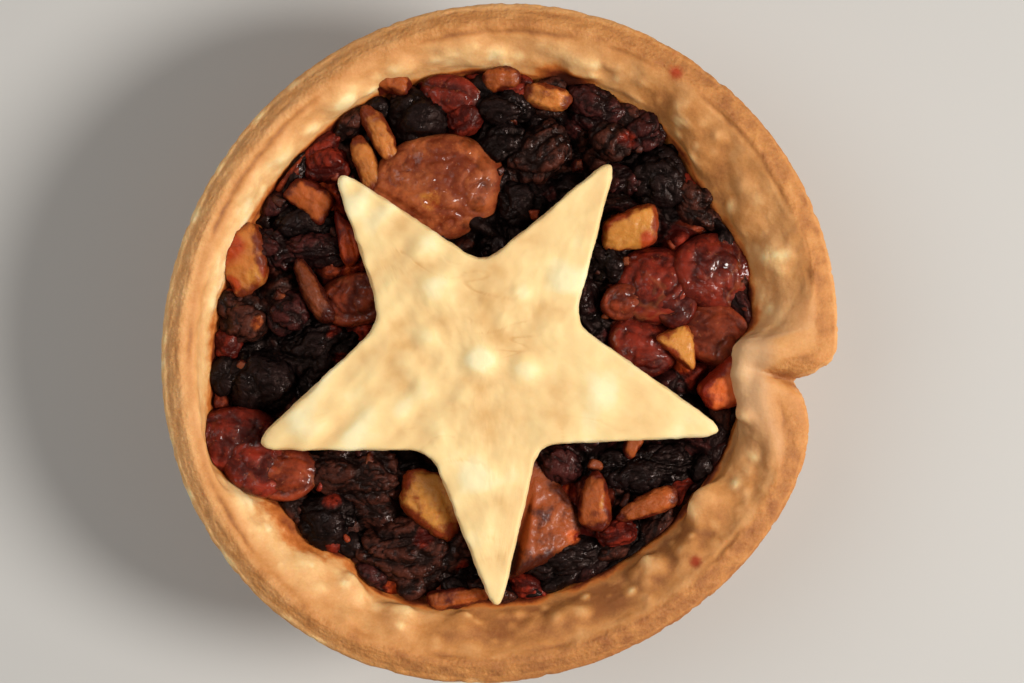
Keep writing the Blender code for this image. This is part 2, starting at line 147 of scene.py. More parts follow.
# Fruit stays this far below the star, and beyond its edge it may rise this much for each mm away
STAR_CLEARANCE = 0.4
STAR_EDGE = 1.0
RISE_PAST_STAR = 0.8
STAR_SETTLED = 0.4
TIP_OVERRUN = 1.6

# Swellings of the pastry's inner face: bearing, place from the filling (0) to the lip (1), radius, height.
# The last is the rounded end of the fold.
SWELLINGS = (
    (124.0, 0.45, 1.5, 0.8), (139.0, 0.55, 1.5, 0.7), (149.0, 0.70, 1.3, 0.5), (110.0, 0.50, 1.2, 0.6),
    (96.0, 0.55, 1.9, 0.7), (74.0, 0.50, 1.5, 0.5), (51.0, 0.65, 1.9, 0.6), (44.0, 0.30, 2.3, 0.8),
    (27.0, 0.45, 1.7, 0.6), (18.0, 0.55, 2.0, 0.5), (342.0, 0.75, 1.6, 0.35), (321.5, 0.25, 2.2, 2.1),
    (313.0, 0.55, 1.4, 0.7), (302.0, 0.40, 1.4, 0.5), (284.0, 0.50, 1.8, 0.5), (262.0, 0.40, 1.5, 0.6),
    (249.0, 0.35, 1.6, 0.8), (239.0, 0.30, 1.5, 0.7), (229.0, 0.45, 1.6, 0.6), (210.0, 0.50, 1.8, 0.4),
    (357.5, 0.90, 2.0, 1.1),
)
# How far a swelling 1 mm high moves the face in and up
SWELL_IN = 0.75
SWELL_UP = 0.5
# Smaller ones strewn between them: how many, their radii and their heights
BLISTERS = (170, (0.5, 1.2), (0.10, 0.28))
PEARLS = (260, (0.3, 0.7), (0.03, 0.08))
# The side on which the pastry is painted palest, and where it is painted browner or, below 0, paler than
# that
# gives: bearing, half spread in degrees, by how much. This is partly browner baking and partly painted shade
# on the walls that face away from the light; the row at 2 degrees is painted light on the shaded right wall.
PALEST_BEARING = 165.0
SIDE_BROWNING_AND_SHADE = (
    (293.0, 48.0, 0.36), (261.0, 18.0, 0.12), (50.0, 28.0, 0.28), (122.0, 24.0, 0.26), (2.0, 22.0, -0.26),
)

# Juice that has soaked into the wall, and painted shade: bearing, half spread in degrees, rise above the
# filling, strength. The row at 4.5 degrees is painted shade in the hollow above the pleat's folded-in strip.
STAINS_AND_SHADE = (
    (197.0, 16.0, 2.3, 0.55), (222.0, 13.0, 3.0, 0.60), (238.0, 8.0, 2.0, 0.45), (76.0, 7.0, 2.2, 1.0),
    (150.0, 9.0, 1.2, 0.5), (255.0, 10.0, 1.0, 0.5), (300.0, 30.0, 1.0, 0.4), (20.0, 20.0, 1.0, 0.5),
    (4.5, 5.0, 2.0, 0.85), (178.0, 13.0, 2.2, 0.45),
)
# Drops of juice on the rim: x, y, radius, strength
DROPS = ((16.4, 25.4, 0.75, 1.0), (16.4, 27.3, 0.45, 0.45), (18.3, -20.6, 0.65, 1.0))

# Blisters and bumps on the star: x, y, radius, height
STAR_BUMPS = (
    (-6.0, 5.0, 1.9, 0.38), (-2.0, -1.6, 1.7, 0.34), (2.2, -2.5, 1.5, 0.30), (-9.2, -1.4, 1.2, 0.16),
    (-8.2, -2.9, 1.1, 0.16), (-7.2, -4.2, 1.3, 0.14), (-7.2, 0.8, 1.3, 0.22), (-3.6, -4.8, 1.2, 0.12),
    (-18.1, -8.3, 1.8, 0.20), (-2.0, -12.8, 1.9, 0.22), (-7.2, 9.2, 1.6, 0.20), (6.2, 6.0, 1.7, 0.18),
    (1.8, 4.7, 1.0, 0.16), (-14.0, 12.6, 1.5, 0.12), (9.5, -5.6, 2.2, 0.12), (-12.4, -6.0, 1.4, 0.14),
    (-6.0, -8.0, 1.0, 0.12), (4.6, 1.4, 1.2, 0.10), (0.2, 2.0, 0.9, 0.12), (-1.9, -18.0, 1.4, 0.10),
)

# What each piece of fruit looks like: the colour of its skin and the colour in its folds, which on raisins,
# currants and sultanas is darker partly as painted shade
TONES = {
    "black": ((27, 16, 15), (4, 2, 2)),
    "brown": ((76, 37, 27), (18, 7, 5)),
    "plum": ((66, 27, 24), (16, 5, 5)),
    "red": ((128, 38, 22), (58, 11, 7)),
    "amber": ((144, 58, 30), (78, 24, 12)),
    "gold": ((170, 90, 48), (112, 44, 20)),
    "apple": ((199, 131, 56), (134, 50, 18)),
    "rust": ((172, 66, 24), (92, 20, 8)),
    "ember": ((202, 96, 42), (128, 34, 14)),
    "orange": ((162, 80, 32), (84, 24, 10)),
    "toffee": ((148, 70, 28), (70, 24, 9)),
    "peel": ((184, 110, 48), (108, 42, 17)),
    "russet": ((120, 56, 26), (62, 19, 9)),
}

# The fruit that shows: x, y, length, width, bearing of the length, rise over its neighbours, look.
# Each is made a little plumper than what shows of it, because its folds and its neighbours hide the rest.
PLUMPNESS = 1.14
RAISINS = (
    (-3.5, 21.5, 3.3, 3.0, 20, 0.1, "red"), (0.0, 22.5, 5.6, 3.6, 0, 0.2, "black"),
    (-0.2, 19.2, 5.0, 4.2, 30, 0.0, "black"), (3.5, 18.3, 6.4, 5.8, 40, 0.2, "brown"),
    (9.1, 22.7, 5.6, 4.4, -20, 0.1, "plum"), (10.4, 19.4, 3.6, 4.0, 60, 0.3, "brown"),
    (13.6, 20.5, 4.8, 4.4, 10, 0.0, "plum"), (1.9, 13.5, 5.0, 4.8, -30, -0.2, "black"),
    (18.4, 14.0, 3.0, 4.4, 80, -0.2, "brown"), (11.3, 15.6, 3.0, 5.0, 90, 0.0, "plum"),
    (9.8, 7.7, 3.6, 5.0, 80, 0.2, "black"), (13.6, -12.0, 10.0, 5.2, 6, 0.1, "black"),
    (5.4, -11.3, 4.0, 4.8, 70, 0.2, "plum"), (6.0, -20.6, 8.4, 4.2, 10, -0.1, "black"),
    (-14.2, -12.8, 10.0, 6.2, -8, 0.1, "brown"), (-8.5, -20.2, 12.4, 7.4, 4, 0.3, "brown"),
    (-21.8, 8.9, 3.6, 7.0, 70, 0.0, "plum"), (-18.7, 11.5, 6.2, 3.6, 10, -0.2, "black"),
    (-17.4, 8.9, 6.4, 3.2, -6, 0.0, "plum"), (-24.6, 2.4, 5.0, 4.6, 20, 0.0, "brown"),
    (-20.5, 2.9, 4.0, 4.0, 0, 0.1, "plum"), (-17.5, -0.7, 7.8, 6.0, 20, 0.0, "black"),
    (-16.8, 16.9, 4.2, 3.8, 0, -0.2, "red"), (11.0, -18.2, 3.6, 2.6, 15, 0.0, "red"),
    (0.2, 9.6, 4.6, 4.6, 80, -0.8, "black"), (9.9, -6.0, 5.0, 4.0, 0, -0.6, "black"),
)
CURRANTS = (
    (-8.0, 21.5, 5.9, 5.7, 0, 0.5, "black"), (15.1, 15.7, 5.2, 6.4, 70, 0.2, "black"),
    (-16.9, -17.0, 5.6, 5.4, 0, 0.4, "black"), (-23.1, -3.7, 6.0, 7.6, 100, 0.2, "black"),
)
SULTANAS = (
    (-6.3, 15.0, 11.8, 9.4, 12, 0.7, "gold"), (-4.9, 23.8, 5.2, 3.4, -10, 0.0, "red"),
    (20.4, 6.9, 6.6, 7.8, 100, 0.3, "red"), (14.6, 5.5, 7.0, 6.8, 30, 0.2, "red"),
    (16.5, 3.6, 3.8, 4.0, 0, 0.4, "red"), (20.4, 0.9, 6.4, 5.4, -20, 0.1, "amber"),
    (13.5, -0.3, 6.2, 5.2, -30, 0.0, "red"), (11.5, 3.9, 3.8, 3.2, 20, 0.1, "amber"),
    (-26.0, -9.2, 5.6, 8.2, 100, 0.3, "red"), (-23.3, -11.6, 6.4, 5.4, -30, 0.3, "red"),
    (-20.6, -12.6, 5.6, 4.8, 10, 0.1, "amber"), (-13.9, 4.1, 4.8, 7.2, 100, 0.0, "amber"),
)
APPLES = (
    (-10.4, 24.8, 3.6, 2.0, -10, 0.2, "orange"), (0.0, 25.2, 3.8, 2.3, 5, 0.2, "orange"),
    (4.4, 23.5, 4.6, 2.5, -20, 0.2, "peel"), (12.3, 10.9, 5.4, 3.8, 5, 0.3, "apple"),
    (17.1, 0.1, 3.2, 3.5, 50, 0.4, "apple"), (21.2, -4.2, 4.8, 4.0, 30, 0.6, "ember"),
    (3.8, -17.4, 8.2, 9.4, -16, 0.3, "toffee"), (-6.7, -15.2, 6.6, 5.4, -20, 0.0, "apple"),
    (-24.6, 7.8, 6.0, 4.6, -60, 0.1, "peel"), (-18.3, 13.8, 4.6, 2.9, -30, 0.2, "orange"),
)
PEELS = (
    (-11.6, 19.8, 6.2, 2.1, -64, 0.1, "peel"), (-12.9, 16.9, 5.6, 2.2, -76, 0.0, "peel"),
    (12.5, -9.7, 2.8, 1.7, 60, 0.5, "orange"), (9.0, -15.1, 5.6, 3.0, 85, 0.4, "orange"),
    (13.9, -15.5, 6.2, 2.2, 22, 0.3, "orange"), (-4.0, -24.3, 6.4, 1.9, 10, 0.2, "orange"),
    (-18.1, 5.0, 7.2, 2.0, -60, 0.1, "russet"), (-14.6, 9.8, 2.0, 4.4, 10, -0.1, "rust"),
)
# Patches of another colour on the fruit: x, y, radius, look
PATCHES = (
    (-6.8, 13.6, 1.1, "apple"), (-3.3, 18.9, 0.8, "toffee"), (-1.7, 17.2, 0.9, "toffee"),
    (-1.4, 15.2, 0.9, "toffee"), (-2.1, 13.2, 0.9, "toffee"), (-3.3, 11.3, 0.8, "toffee"),
    (-23.4, 1.9, 0.8, "orange"), (-7.5, -18.6, 1.1, "red"), (-16.0, 1.2, 0.7, "red"),
    (-15.4, -1.4, 0.6, "red"), (-3.6, -21.4, 0.8, "red"), (-26.4, 9.2, 2.4, "rust"),
    (-25.6, 5.6, 1.0, "rust"), (11.9, 19.4, 1.0, "red"), (-16.2, -15.0, 0.9, "red"),
    (13.9, 9.8, 1.2, "rust"), (-23.2, 6.4, 1.2, "apple"), (10.3, -15.2, 1.0, "apple"),
    (5.0, -16.8, 1.0, "orange"), (6.8, -18.4, 0.8, "ember"),
)
LUMP_RISE = 1.1
LUMP_FLOOR = -4.0
LUMP_CREASE = 0.5
# The squashed fruit between them: how many lumps, and where it is mostly sultana: x, y, radius
LUMPS = 210
SULTANA_PULP = (
    (17.5, 5.0, 6.5), (-25.5, -9.5, 5.0), (-6.0, 14.0, 3.0), (-4.5, 24.0, 4.0), (-15.0, 5.0, 3.5),
    (-8.0, -25.0, 4.0), (8.0, -17.0, 3.5), (21.0, -2.5, 3.5), (-19.5, 15.0, 3.0),
)
# The turn from one strewn thing to the next, which spreads them evenly
EVEN_TURN = 137.508
EDGE_SCRAPS = 46
ROOM_DEPTH = 0.8
CRUMBS = 44

# How finely each piece is cut into faces
CASE_COLUMNS = 600
FILL_COLUMNS = 480
FILL_RINGS = 135
STAR_STEPS = 40
SQUARES_PER_MM = 4.2
FEWEST_SQUARES = 9
MOST_SQUARES = 46


def ease(t):
    """0 to 1 with level ends, and held at 0 and 1 outside."""
    t = np.clip(t, 0.0, 1.0)
    return t * t * (3 - 2 * t)


def between(value, low, high):
    """0 at low and 1 at high, eased."""
    return ease((value - low) / (high - low))


def mix(a, b, share):
    return a + (b - a) * share


def turn_between(bearing, other):
    """The signed turn from other to bearing, from -180 to 180 degrees."""
    return (bearing - other + 180.0) % 360.0 - 180.0


def gradient_table(seed):
    drawn = np.random.default_rng(seed).normal(size=(256, 3))
    return drawn / np.linalg.norm(drawn, axis=1, keepdims=True)


GRADIENTS = gradient_table(5)
CELL_PRIMES = (73856093, 19349663, 83492791)
NOISE_GAIN = 1.7


def noise(points, per_mm, seed=0):
    """Smooth gradient noise from about -1 to 1, with about one feature each 1/per_mm."""
    place = np.asarray(points) * per_mm + seed * np.array((17.13, 5.71, 9.37))
    cell = np.floor(place).astype(np.int64)
    part = place - cell
    fade = part**3 * (part * (part * 6 - 15) + 10)
    total = np.zeros(len(place))
    for corner in product((0, 1), repeat=3):
        key = np.zeros(len(place), dtype=np.int64)
        for axis, prime in enumerate(CELL_PRIMES):
            key ^= (cell[:, axis] + corner[axis]) * prime
        gradient = GRADIENTS[(key ^ (key >> 11)) & 255]
        weight = np.prod(np.where(corner, fade, 1 - fade), axis=1)
        total += ((part - corner) * gradient).sum(axis=1) * weight
    return total * NOISE_GAIN


def rough(points, per_mm, seed=0, octaves=3):
    """Noise with finer noise on it."""
    return sum(noise(points, per_mm * 2**k, seed + k) / 2**k for k in range(octaves))


def folds(points, per_mm, seed, narrow=3.2):
    """0 on open skin, rising to 1 along a winding net of narrow folds."""
    swirl = np.stack([noise(points, per_mm * 0.7, seed + 3 + axis) for axis in range(3)], axis=1)
    return np.clip(1 - np.abs(noise(points + swirl * 0.45 / per_mm, per_mm, seed)) * narrow, 0, 1)


def waves(bearing, radius, rows):
    """A nearly round outline: each row is a number of crests, their height and the bearing of one."""
    return radius + sum(size * np.cos(np.radians(count * (bearing - crest))) for count, size, crest in rows)


def spread_rows(bearing, rows):
    """The sum of rows of a bearing, a half spread and a size, each of which fades to both sides."""
    return sum(size * np.exp(-((turn_between(bearing, middle) / half) ** 2)) for middle, half, size in rows)


def pleat_notch(bearing):
    """How far the pleat draws the rim in: a round lobe above it and a long slope below."""
    past = turn_between(bearing, PLEAT_BEARING)
    above = PLEAT_DEPTH * np.clip(1 - past / PLEAT_UPPER_SPAN, 0, None) ** 2
    below = PLEAT_DEPTH * np.exp(np.minimum(past, 0) / PLEAT_LOWER_SPAN)
    return np.where(past > 0, above, below)


def rim_radius(bearing):
    return waves(bearing, RIM_RADIUS, RIM_WAVES) - pleat_notch(bearing)


def outer_radius(bearing, height):
    """The outside of the case: a straight flared wall, with the pleat fading out towards the base."""
    wall = mix(BASE_RADIUS, waves(bearing, RIM_RADIUS, RIM_WAVES), height / (RIM_HEIGHT - CUT_FACE_DROP))
    return wall - pleat_notch(bearing) * ease((height - PLEAT_FOOT) / (RIM_HEIGHT - PLEAT_FOOT))


def fill_radius(bearing):
    return waves(bearing, FILL_RADIUS, FILL_WAVES) - spread_rows(bearing, FILL_DENTS)


def fold_share(bearing):
    """1 where the fold carries the lip in: above the notch it drifts in and then turns sharply."""
    past = turn_between(bearing, PLEAT_BEARING)
    above = mix(between(past, *FOLD_ABOVE[::-1]), between(past, *FOLD_DRIFT[::-1]), DRIFT_SHARE)
    return above * between(past, *FOLD_BELOW[::-1])


def fold_slump(bearing):
    """How far the pastry slumps where the lip runs aslant into the fold."""
    share = fold_share(bearing)
    return FOLD_SLUMP * 4 * share * (1 - share) * (turn_between(bearing, PLEAT_BEARING) > 0)


def lip_radius(bearing):
    """The inner corner of the cut face, which the fold carries in towards the filling."""
    return mix(rim_radius(bearing) - PASTRY, FOLD_LIP, fold_share(bearing))


def rim_height(bearing):
    """The rim isn't quite level."""
    twice, five_times = np.sin(np.radians(2 * bearing + 40)), np.sin(np.radians(5 * bearing))
    return RIM_HEIGHT + RIM_SWELL * (twice + 0.6 * five_times) / 1.6


def inner_radius(bearing, height):
    """The bare inside face of the case, before its swellings."""
    fill, lip = fill_radius(bearing), lip_radius(bearing)
    low = mix(FLOOR_RADIUS, fill, np.clip((height - FLOOR_HEIGHT) / (FILL_HEIGHT - FLOOR_HEIGHT), 0, 1))
    up = np.clip((height - FILL_HEIGHT) / (rim_height(bearing) - FILL_HEIGHT), 0, 1)
    return np.where(height <= FILL_HEIGHT, low, mix(fill, lip, up))


def at(bearing, radius, height):
    turn = np.radians(bearing)
    bearing, radius, height = np.broadcast_arrays(bearing, radius, height)
    return np.stack([radius * np.cos(turn), radius * np.sin(turn), height], axis=-1)


def bearing_of(points):
    return np.degrees(np.arctan2(points[..., 1], points[..., 0]))


def away_from(points, x=0.0, y=0.0):
    """How far each point is from a place, as seen from above."""
    return np.hypot(points[..., 0] - x, points[..., 1] - y)


def turned(a, b, degrees):
    """Two coordinates, turned from the first towards the second."""
    turn = np.radians(degrees)
    return a * np.cos(turn) - b * np.sin(turn), a * np.sin(turn) + b * np.cos(turn)


def seeded_bumps(count, sizes, heights, seed):
    """Bumps strewn over the inside face between the named ones: bearing, place, radius, height."""
    draw = np.random.default_rng(seed)
    return tuple(
        (draw.uniform(0, 360), draw.uniform(0.1, 1.0), draw.uniform(*sizes), draw.uniform(*heights))
        for _ in range(count)
    )


def wall_bumps(rows):
    """The middle of each bump on the inside face, with its radius and height."""
    found = []
    for bearing, place, size, height in rows:
        level = FILL_HEIGHT + place * (RIM_HEIGHT - FILL_HEIGHT)
        found.append((at(bearing, inner_radius(bearing, level), level), size, height))
    return found


def bumps(points, centres, flatness=2):
    """How far a set of bumps stands out at each point; a higher flatness gives a flatter top."""
    total = np.zeros(len(points))
    for centre, size, height in centres:
        away = np.linalg.norm(points - centre, axis=1) / size
        total += height * np.exp(-(away**flatness))
    return total


SWELLING_CENTRES = wall_bumps(SWELLINGS)


def case_controls(bearing):
    """The case's section from the middle of its floor, over the rim, to the middle of its base:
    how many rows of faces lead on from each row, and its radius and height at each bearing."""
    top, fill = rim_height(bearing), fill_radius(bearing)
    lip, rim = lip_radius(bearing), rim_radius(bearing)
    rows = [(1, 0.0, FLOOR_HEIGHT), (1, FLOOR_RADIUS - 1.5, FLOOR_HEIGHT)]
    rows += [(2, inner_radius(bearing, level), level) for level in (FLOOR_HEIGHT + 1.2, 0.6 * FILL_HEIGHT)]
    wall = ((8, 0.0), (9, 0.2), (9, 0.4), (12, 0.6))
    rows += [(steps, mix(fill, lip, share), mix(FILL_HEIGHT, top, share)) for steps, share in wall]
    fold, slump = fold_share(bearing), fold_slump(bearing)
    rows += [(5, lip - 0.45, top - 0.64 - 0.95 * fold - slump)]
    rows += [(5, lip + 0.1 + 0.2 * fold, top - 0.25 - 0.5 * fold - slump)]
    rows += [(9, lip + 0.8 + 0.9 * fold, top - 0.08 * fold - 0.4 * slump)]
    middle = (lip + rim) / 2
    rows += [(9, middle, top - 0.28), (6, rim - 0.75, top - 0.75 * CUT_FACE_DROP)]
    rows += [(4, rim - 0.3, top - CUT_FACE_DROP), (4, rim - 0.05, top - CUT_FACE_DROP - 0.3)]
    rows += [(9, rim, top - CUT_FACE_DROP - EDGE_ROUND)]
    outer = ((10, 16.0), (10, 11.5), (9, 7.0), (6, BASE_CORNER))
    rows += [(steps, outer_radius(bearing, level), level) for steps, level in outer]
    rows += [(6, BASE_RADIUS + 0.2 - BASE_CORNER * 0.3, BASE_CORNER * 0.3)]
    rows += [(3, BASE_RADIUS - BASE_CORNER * 0.75, 0.0), (8, BASE_RADIUS * 0.84, 0.0), (0, 0.0, 0.0)]
    return [row[0] for row in rows], np.array([np.broadcast_arrays(*row[1:], bearing)[:2] for row in rows])


def smooth_rows(steps, controls):
    """Rows of points on a smooth curve through control rows."""
    rises = np.diff(controls, axis=0)
    lengths = np.linalg.norm(rises, axis=1, keepdims=True)
    slopes = rises / lengths
    inner = (slopes[1:] * lengths[:-1] + slopes[:-1] * lengths[1:]) / (lengths[1:] + lengths[:-1])
    tangents = np.concatenate([slopes[:1], inner, slopes[-1:]])
    rows = []
    for k, count in enumerate(steps[:-1]):
        start, end = controls[k], controls[k + 1]
        leave, arrive = tangents[k] * lengths[k], tangents[k + 1] * lengths[k]
        for t in np.arange(count) / count:
            bend = (t**3 - 2 * t**2 + t) * leave + (t**3 - t**2) * arrive
            rows.append(mix(start, end, ease(t)) + bend)
    rows.append(controls[-1])
    return np.array(rows)


def relaxed(section, bearing):
    """The case's section rows with the pastry of the fold slumped smooth, and their bearings too."""
    grid = at(bearing, section[:, 0], section[:, 1])
    weight = np.exp(-((np.linalg.norm(grid - FOLD_MIDDLE, axis=2) / FOLD_REACH) ** 2))[1:-1, :, None] * 0.9
    for _ in range(FOLD_SMOOTHINGS):
        across = np.roll(grid, 1, axis=1) + np.roll(grid, -1, axis=1)
        mean = (grid[:-2] + grid[2:] + across[1:-1]) / 4
        grid[1:-1] += (mean - grid[1:-1]) * weight
    return grid


def wrapped_faces(columns, rings):
    """The faces of a body with a pole at each end: vertex 0, then the rings, then the last pole."""
    here = np.arange(columns)
    ahead = (here + 1) % columns
    faces = [(0, int(b), int(a)) for a, b in zip(1 + here, 1 + ahead)]
    for ring in range(rings - 1):
        low, high = 1 + ring * columns, 1 + (ring + 1) * columns
        faces += np.stack([low + here, low + ahead, high + ahead, high + here], axis=1).tolist()
    last = 1 + rings * columns
    low = last - columns
    faces += [(int(low + a), int(low + b), last) for a, b in zip(here, ahead)]
    return faces


def from_rows(grid):
    """A grid of points or values as one list, its first and last rows drawn into poles."""
    return np.concatenate([grid[0][:1], grid[1:-1].reshape(-1, *grid.shape[2:]), grid[-1][:1]])


def new_piece(name, points, faces):
    """A mesh object with its faces pointing out."""
    mesh = bpy.data.meshes.new(name)
    mesh.from_pydata((points * MM).tolist(), [], faces)
    shape = bmesh.new()
    shape.from_mesh(mesh)
    bmesh.ops.recalc_face_normals(shape, faces=shape.faces)
    shape.to_mesh(mesh)
    shape.free()
    mesh.shade_smooth()
    piece = bpy.data.objects.new(name, mesh)
    bpy.context.scene.collection.objects.link(piece)
    return piece


def normals_of(piece):
    values = np.empty(len(piece.data.vertices) * 3)
    piece.data.vertices.foreach_get("normal", values)
    return values.reshape(-1, 3)


def move_points(piece, points):
    piece.data.vertices.foreach_set("co", (points * MM).astype(np.float32).ravel())
    piece.data.update()


def mark(piece, name, values):
    """Keeps a number or a colour for each vertex, which the material reads by name."""
    values = np.asarray(values, dtype=np.float32)
    if values.ndim == 1:
        piece.data.attributes.new(name, "FLOAT", "POINT").data.foreach_set("value", values)
        return
    coloured = np.insert(values, 3, 1.0, axis=1)
    piece.data.attributes.new(name, "FLOAT_COLOR", "POINT").data.foreach_set("color", coloured.ravel())


def mark_fruit(piece, fold, which, skin, deep):
    """What the fruit's materials read: how deep in a fold, a number for each fruit, and two colours."""
    for name, values in (("fold", fold), ("which", which), ("skin", skin), ("deep", deep)):
        mark(piece, name, values)


def linear(rgb):
    """A screen colour from 0 to 255 as the light it stands for."""
    share = np.asarray(rgb, dtype=float) / 255
    return np.where(share <= 0.04045, share / 12.92, ((share + 0.055) / 1.055) ** 2.4)


def socket_colour(rgb):
    return (*linear(rgb).tolist(), 1.0)


def dress(piece, finish, slot, *nodes):
    """The last steps that every piece shares."""
    piece.data.materials.append(finish)
    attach(piece, "root")
    if nodes:
        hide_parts(*nodes)


class Finish:
    """A material, and short ways to add its nodes."""

    def __init__(self, name):
        self.material = bpy.data.materials.new(name)
        self.material.use_nodes = True
        self.tree = self.material.node_tree
        self.shader = self.tree.nodes["Principled BSDF"]
        self.place = self.add("TexCoord").outputs["Object"]

    def add(self, kind, settings=None, **inputs):
        made = self.tree.nodes.new("ShaderNode" + kind)
        for name, value in (settings or {}).items():
            setattr(made, name, value)
        for name, value in inputs.items():
            self.put(made.inputs[int(name[1:]) if name[1:].isdigit() else name], value)
        return made

    def put(self, socket, value):
        if isinstance(value, bpy.types.NodeSocket):
            self.tree.links.new(value, socket)
        else:
            socket.default_value = value

    def read(self, name):
        """A number kept at each vertex."""
        return self.add("Attribute", {"attribute_name": name}).outputs["Fac"]

    def read_colour(self, name):
        return self.add("Attribute", {"attribute_name": name}).outputs["Color"]

    def skin(self, share):
        """The colour of a fruit's skin, running into that of its folds."""
        return self.blend(share, self.read_colour("skin"), self.read_colour("deep"))

    def grain(self, per_mm, detail=3.0, roughness=0.55):
        """Noise from 0 to 1 with about one feature each 1/per_mm."""
        made = self.add("TexNoise", Vector=self.place, Scale=per_mm / MM, Detail=detail, Roughness=roughness)
        return made.outputs["Fac"]

    def own_grain(self, per_mm, detail=3.0, roughness=0.55):
        """The same, but different on each piece of fruit."""
        inputs = {"W": self.read("which"), "Scale": per_mm / MM, "Detail": detail, "Roughness": roughness}
        return self.add("TexNoise", {"noise_dimensions": "4D"}, Vector=self.place, **inputs).outputs["Fac"]

    def wrinkles(self, per_mm, narrow):
        """0 along a winding net of narrow lines and 1 between them."""
        aside = self.sum(self.own_grain(per_mm, 2.5, 0.5), 1.0, -0.5)
        return self.limits(self.work_out("ABSOLUTE", aside), 0.0, 1.0 / narrow)

    def cells(self, per_mm):
        """0 in the middle of each small cell, rising towards its sides."""
        return self.add("TexVoronoi", Vector=self.place, Scale=per_mm / MM).outputs["Distance"]

    def work_out(self, operation, *values):
        named = {f"i{n}": value for n, value in enumerate(values)}
        return self.add("Math", {"operation": operation}, **named).outputs[0]

    def sum(self, value, gain, start=0.0):
        """value times gain plus start."""
        return self.work_out("MULTIPLY_ADD", value, gain, start)

    def times(self, a, b):
        return self.work_out("MULTIPLY", a, b)

    def plus(self, a, b):
        return self.work_out("ADD", a, b)

    def varied(self, name, grain, gain):
        """A number kept at each vertex, with a grain that takes it up and down."""
        return self.plus(self.read(name), self.sum(grain, gain, -gain / 2))

    def limits(self, value, low, high):
        """0 at low and 1 at high."""
        smooth = {"interpolation_type": "SMOOTHSTEP"}
        return self.add("MapRange", smooth, i0=value, i1=low, i2=high).outputs[0]

    def blend(self, share, a, b):
        return self.add("Mix", {"data_type": "RGBA"}, i0=share, i6=a, i7=b).outputs[2]

    def ramp(self, share, *stops):
        """Colours along a share from 0 to 1: each stop is a place and a screen colour."""
        made = self.add("ValToRGB", Fac=share)
        elements = made.color_ramp.elements
        while len(elements) < len(stops):
            elements.new(0.5)
        for element, (place, rgb) in zip(elements, stops):
            element.position = place
            element.color = socket_colour(rgb)
        return made.outputs["Color"]

    def bump(self, height, depth_mm, strength=1.0):
        return self.add("Bump", Height=height, Distance=depth_mm * MM, Strength=strength).outputs["Normal"]

    def set(self, **inputs):
        """Sets the shader's own sockets; an underscore stands for a space."""
        for name, value in inputs.items():
            self.put(self.shader.inputs[name.replace("_", " ")], value)
        return self.material


def crust_finish():
    """Shortcrust, from pale dough to baked brown, with soaked-in juice, and with painted light and shade in
    both.
    """
    made = Finish("baked_pastry")
    browning_and_shade = made.varied("browning_and_shade", made.grain(0.9, 5.0, 0.65), 0.36)
    browning_and_shade = made.plus(browning_and_shade, made.sum(made.grain(5.0, 3.0), 0.16, -0.08))
    dough = made.ramp(
        browning_and_shade, (0.0, (253, 222, 166)), (0.25, (244, 198, 136)), (0.5, (225, 165, 104)),
        (0.75, (202, 136, 74)), (1.0, (156, 95, 49)),
    )
    # The pleat's fold is blended towards a greyer, darker dough: greyer dough and painted shade.
    dough = made.blend(made.times(made.read("fold_dough_and_shade"), 0.8), dough, socket_colour((211, 168, 124)))
    juice_and_shade = made.varied("juice_and_shade", made.grain(1.1, 4.0), 0.5)
    # Soaked orange running to near black at the fruit: juice colour and painted contact shadow.
    soaked = made.ramp(
        juice_and_shade, (0.0, (232, 174, 100)), (0.4, (204, 116, 50)), (0.7, (120, 50, 22)), (0.9, (58, 22, 12))
    )
    share = made.limits(juice_and_shade, 0.06, 0.5)
    colour = made.blend(share, dough, soaked)
    drop = made.limits(made.varied("drop", made.grain(2.6), 0.6), 0.1, 1.0)
    colour = made.blend(drop, colour, socket_colour((172, 62, 20)))
    crumb = made.plus(made.sum(made.grain(3.2, 4.0, 0.7), 0.7), made.sum(made.cells(2.4), 0.4))
    normal = made.bump(crumb, 0.2, made.sum(made.read("crumb"), 0.65, 0.28))
    return made.set(
        Base_Color=colour, Roughness=made.sum(share, -0.2, 0.6), Normal=normal,
        Subsurface_Weight=0.3, Subsurface_Radius=(1.0, 0.5, 0.2), Subsurface_Scale=0.0014,
        Specular_IOR_Level=0.3,
    )


def star_finish():
    """Pale matt pastry, tanner where it has stayed damp; paler on its blisters and ripple crests, creamier
    pastry and painted highlight both, and tanner in its cracks, painted shade.
    """
    made = Finish("pale_pastry")
    colour = made.ramp(
        made.varied("tan", made.grain(0.5, 4.0), 0.5), (0.0, (253, 234, 184)), (0.35, (248, 216, 154)),
        (0.7, (238, 199, 138)), (1.0, (220, 172, 108)),
    )
    normal = made.bump(made.grain(5.0, 4.0, 0.7), 0.06, made.sum(made.read("crumb"), 0.9, 0.25))
    return made.set(
        Base_Color=colour, Roughness=0.58, Normal=normal, Specular_IOR_Level=0.3,
        Subsurface_Weight=0.2, Subsurface_Radius=(1.0, 0.6, 0.3), Subsurface_Scale=0.0012,
    )


WARM_GLOSS = (1.0, 0.62, 0.52, 1.0)


